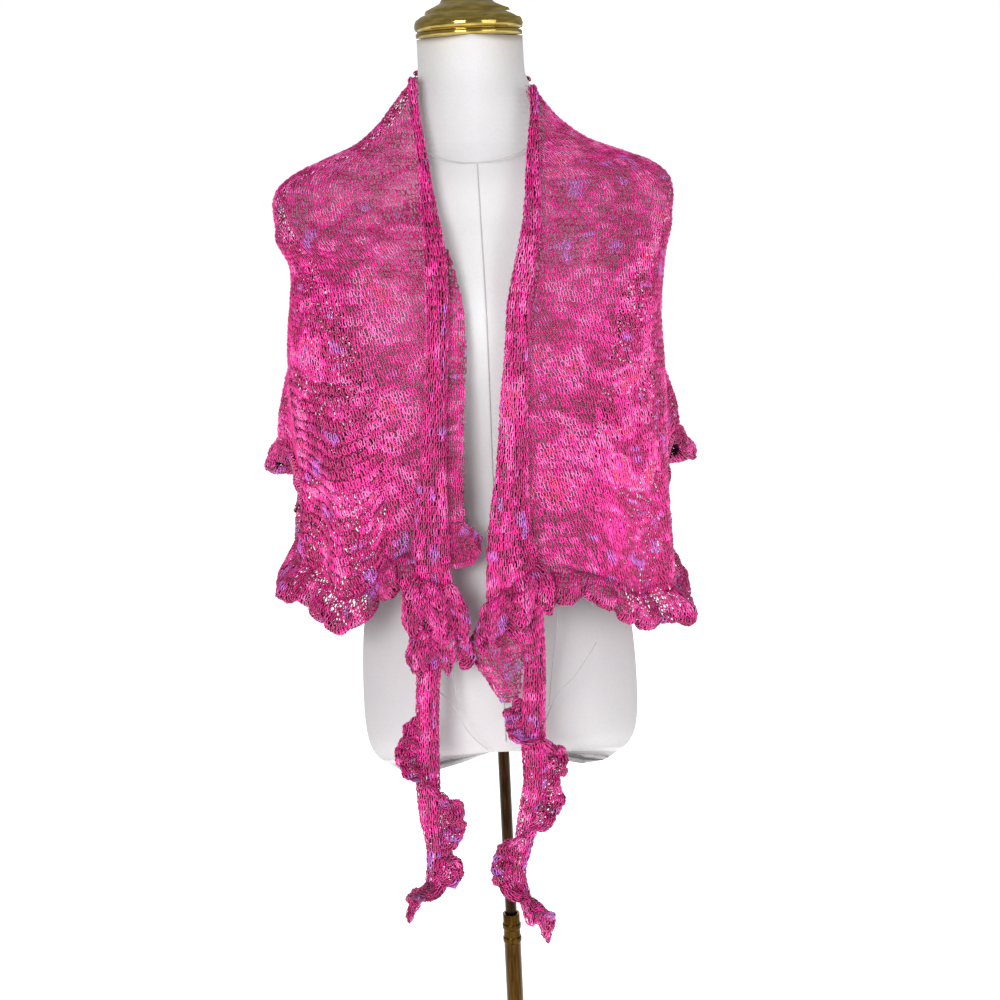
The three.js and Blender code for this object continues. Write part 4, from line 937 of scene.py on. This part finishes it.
def add_bump(nodes, links, shader, height, strength, distance):
    bump = nodes.new("ShaderNodeBump")
    bump.inputs["Strength"].default_value = strength
    bump.inputs["Distance"].default_value = distance
    links.new(height, bump.inputs["Height"])
    links.new(bump.outputs["Normal"], shader.inputs["Normal"])


CRIMSON, ROSE, HOT_PINK = (0.38, 0.002, 0.100), (0.66, 0.006, 0.205), (0.90, 0.022, 0.340)
LIGHT_PINK, ORCHID, CORAL = (0.93, 0.170, 0.480), (0.56, 0.120, 0.560), (0.90, 0.060, 0.190)


def yarn_finish(name, shade, shift):
    made, nodes, links, shader = material(name)
    # The dye number carries the dye patches and painted shade lower down.
    dye_and_shade = nodes.new("ShaderNodeAttribute")
    dye_and_shade.attribute_name = "dye_and_shade"
    patches = noise(nodes, links, 26, 3)
    both = maths(nodes, links, "ADD", maths(nodes, links, "MULTIPLY", dye_and_shade.outputs["Fac"], 0.55),
                 maths(nodes, links, "MULTIPLY", patches, 0.6))
    both = maths(nodes, links, "SUBTRACT", both, shift)
    colour = ramp(nodes, links, both, [
        (0.28, ORCHID), (0.34, ROSE), (0.41, CRIMSON), (0.48, ROSE), (0.56, HOT_PINK), (0.62, LIGHT_PINK),
        (0.67, HOT_PINK), (0.71, CORAL), (0.75, HOT_PINK), (0.80, ORCHID)])
    ply = noise(nodes, links, 420, 2)
    crown = nodes.new("ShaderNodeAttribute")
    crown.attribute_name = "crown"
    # Painted highlight and shade: the top of each strand is lighter and its sides darker, by the crown number.
    strand_painted_light = tint(nodes, links, colour, crown.outputs["Fac"], 0.42, 1.15)
    links.new(tint(nodes, links, strand_painted_light, ply, 0.6 * shade, 1.35 * shade), shader.inputs["Base Color"])
    shader.inputs["Roughness"].default_value = 0.34
    shader.inputs["Specular IOR Level"].default_value = 0.55
    shader.inputs["Sheen Weight"].default_value = 0.18
    shader.inputs["Sheen Roughness"].default_value = 0.4
    shader.inputs["Sheen Tint"].default_value = (1.0, 0.55, 0.78, 1)
    add_bump(nodes, links, shader, noise(nodes, links, 900, 3), 0.5, 0.0006)
    return made


knit_finish = yarn_finish("knit_yarn", 1.0, 0.08)
# The ruffle copy of the yarn is darker by its shade factor: painted shade.
ruffle_finish = yarn_finish("ruffle_yarn", 0.88, 0.09)
print("yarn finishes:", knit_finish.name, ruffle_finish.name)

# %% [markdown]
# The canvas is a plain weave, off-white and matt, with threads under a millimetre apart. Two crossed
# waves make the weave's bump and a noise makes its uneven tone. The metals are kept simple: polished
# brass for the cap, a darker bronze with faint streaks along the poles and the base, and for the upper
# pole, under the form, a darker copy of that bronze.
#
# Light that comes through pink yarn turns the canvas under it rosy. The yarn here lets no light
# through itself, so the canvas is tinted where cloth covers it: everywhere round the body between the
# hem and the neck, but for the gap between the two fronts, which widens upwards.

# %% Canvas and metals
COVERED_FROM, COVERED_TO, ROSY = 0.955, 1.38, (0.86, 0.40, 0.56)
GAP_AT, GAP_LEFT, GAP_RIGHT, LEFT_WIDENS, RIGHT_WIDENS = 1.03, 0.029, 0.005, 0.05, 0.14


def step_up(nodes, links, source, low, high):
    node = nodes.new("ShaderNodeMapRange")
    node.interpolation_type = "SMOOTHSTEP"
    node.inputs["From Min"].default_value, node.inputs["From Max"].default_value = low, high
    links.new(source, node.inputs["Value"])
    return node.outputs["Result"]


def covered(nodes, links):
    """From 0 to 1 where cloth lies over the form, by the place on the form."""
    place, split = nodes.new("ShaderNodeTexCoord"), nodes.new("ShaderNodeSeparateXYZ")
    links.new(place.outputs["Object"], split.inputs[0])
    x, y, z = split.outputs
    around = step_up(nodes, links, y, 0.035, 0.05)
    for way, edge, widens in ((-1, GAP_LEFT, LEFT_WIDENS), (1, GAP_RIGHT, RIGHT_WIDENS)):
        line = maths(nodes, links, "ADD", maths(nodes, links, "MULTIPLY", z, widens), edge - GAP_AT * widens)
        past = maths(nodes, links, "SUBTRACT", maths(nodes, links, "MULTIPLY", x, way), line)
        around = maths(nodes, links, "MAXIMUM", around, step_up(nodes, links, past, 0.002, 0.02))
    above = step_up(nodes, links, z, COVERED_FROM, COVERED_FROM + 0.04)
    below = maths(nodes, links, "SUBTRACT", 1, step_up(nodes, links, z, COVERED_TO, COVERED_TO + 0.02))
    return maths(nodes, links, "MULTIPLY", around, maths(nodes, links, "MULTIPLY", above, below))


def canvas_finish(name, colour, threads=380):
    made, nodes, links, shader = material(name)
    tone = noise(nodes, links, 9, 4)
    grain = noise(nodes, links, 500, 2)
    plain = ramp(nodes, links, tone, [(0.3, tuple(0.96 * c for c in colour)), (0.7, colour)])
    blend = nodes.new("ShaderNodeMix")
    blend.data_type = "RGBA"
    links.new(covered(nodes, links), blend.inputs["Factor"])
    links.new(plain, blend.inputs["A"])
    blend.inputs["B"].default_value = (*ROSY, 1)
    base_colour = blend.outputs["Result"]
    links.new(tint(nodes, links, base_colour, grain, 0.965, 1.02), shader.inputs["Base Color"])
    shader.inputs["Roughness"].default_value = 0.88
    shader.inputs["Sheen Weight"].default_value = 0.15
    waves = []
    for axis in ("X", "Z"):
        place = nodes.new("ShaderNodeTexCoord")
        wave = nodes.new("ShaderNodeTexWave")
        wave.bands_direction = axis
        wave.inputs["Scale"].default_value = threads
        wave.inputs["Distortion"].default_value = 0.6
        links.new(place.outputs["Object"], wave.inputs["Vector"])
        waves.append(wave.outputs["Fac"])
    add_bump(nodes, links, shader, maths(nodes, links, "ADD", maths(nodes, links, "MULTIPLY", waves[0], waves[1]),
                                         maths(nodes, links, "MULTIPLY", grain, 1.2)), 0.25, 0.0004)
    return made


def metal_finish(name, dark, light, roughness, stretch):
    made, nodes, links, shader = material(name)
    streaks = noise(nodes, links, 60, 3, stretch)
    links.new(ramp(nodes, links, streaks, [(0.35, dark), (0.65, light)]), shader.inputs["Base Color"])
    shader.inputs["Metallic"].default_value = 1
    rough = nodes.new("ShaderNodeMapRange")
    rough.inputs["To Min"].default_value, rough.inputs["To Max"].default_value = roughness * 0.8, roughness * 1.3
    links.new(streaks, rough.inputs["Value"])
    links.new(rough.outputs["Result"], shader.inputs["Roughness"])
    return made


canvas = canvas_finish("canvas_cover", (0.66, 0.65, 0.66))
seam_thread = canvas_finish("seam_thread", (0.47, 0.455, 0.455))
brass = metal_finish("cap_metal", (0.30, 0.215, 0.050), (0.50, 0.37, 0.10), 0.10, (1, 1, 6))
# The upper pole, under the form, gets a darker copy of the bronze.
upper_pole_bronze = metal_finish("upper_pole_metal", (0.016, 0.007, 0.003), (0.040, 0.019, 0.008), 0.3, (6, 6, 0.6))
bronze = metal_finish("pole_metal", (0.038, 0.018, 0.0035), (0.088, 0.044, 0.008), 0.28, (6, 6, 0.6))

# %% [markdown]
# ## Dressing the frame
# Every piece gets its finish and moves with its body, and the frame's part under it is hidden.
# The lower pole and the base stay on the floor, and all the rest slides up and down with the form.

# %% Finishes and bodies
# The ruffles, tiers, windings, drape and inner strip get the darker copy of the yarn, with painted shade.
for name in cloth_pieces:
    piece = bpy.data.objects[name]
    gets_shaded_copy = any(word in name for word in ("ruffle", "tier", "winding", "drape", "inner"))
    piece.data.materials.append(ruffle_finish if gets_shaded_copy else knit_finish)
for piece, node, finish, slot, body in (
        (form, "form_body", canvas, "canvas", "form"), (cap, "neck_cap", brass, "brass", "form"),
        (pole_upper, "pole_upper", upper_pole_bronze, "bronze", "form"),
        (pole_lower, "pole_lower", bronze, "bronze", "stand"),
        (base, "stand_base", bronze, "bronze", "stand")):
    piece.data.materials.append(finish)
    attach(piece, body)
    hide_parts(node)
form_seams.data.materials.append(seam_thread)
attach(form_seams, "form")
bpy.data.objects.remove(yarn_section)
print("dressed:", len(cloth_pieces) + 6, "pieces")

# %% [markdown]
# ## Floor and light
# The photo is a cut-out on white with soft light from the front and above. A pale floor and a bright
# even sky give that, and two large lamps add the soft shadows under the ruffles. A third lights the back.

# %% Floor and light
bm = bmesh.new()
bmesh.ops.create_circle(bm, cap_ends=True, segments=64, radius=6)
floor = finish_piece("floor", bm)
floor_finish, nodes, links, shader = material("floor_paint")
shader.inputs["Base Color"].default_value = (0.92, 0.92, 0.92, 1)
shader.inputs["Roughness"].default_value = 0.9
shader.inputs["Emission Color"].default_value = (1, 1, 1, 1)
shader.inputs["Emission Strength"].default_value = 0.8
floor.data.materials.append(floor_finish)

world = bpy.data.worlds.new("studio")
bpy.context.scene.world = world
world.use_nodes = True
nodes, links = world.node_tree.nodes, world.node_tree.links
backdrop, sky, rays, choice = (nodes.new("ShaderNodeBackground"), nodes["Background"], nodes.new("ShaderNodeLightPath"),
                               nodes.new("ShaderNodeMixShader"))
sky.inputs["Color"].default_value, sky.inputs["Strength"].default_value = (1, 1, 1, 1), 0.42
backdrop.inputs["Color"].default_value, backdrop.inputs["Strength"].default_value = (1, 1, 1, 1), 1.0
links.new(rays.outputs["Is Camera Ray"], choice.inputs["Fac"])
links.new(sky.outputs["Background"], choice.inputs[1])
links.new(backdrop.outputs["Background"], choice.inputs[2])
links.new(choice.outputs["Shader"], nodes["World Output"].inputs["Surface"])


def lamp(name, place, size, power):
    light = bpy.data.lights.new(name, "AREA")
    light.size, light.energy = size, power
    holder = bpy.data.objects.new(name, light)
    bpy.context.scene.collection.objects.link(holder)
    holder.location = place
    holder.rotation_mode = "QUATERNION"
    holder.rotation_quaternion = (Vector((0, 0, 1.0)) - Vector(place)).to_track_quat("-Z", "Y")


lamp("key", (-1.0, -2.7, 1.7), 1.1, 56)
lamp("fill", (1.7, -2.0, 1.3), 1.4, 16)
lamp("back", (0.5, 2.6, 2.0), 1.6, 26)
bpy.context.scene.view_settings.view_transform = "Standard"
print("lights placed")

# %% [markdown]
# ## The end
# The finished model stays in the frame's box, apart from the little that cloth stands proud.

# %% Finish
print("scene finished")
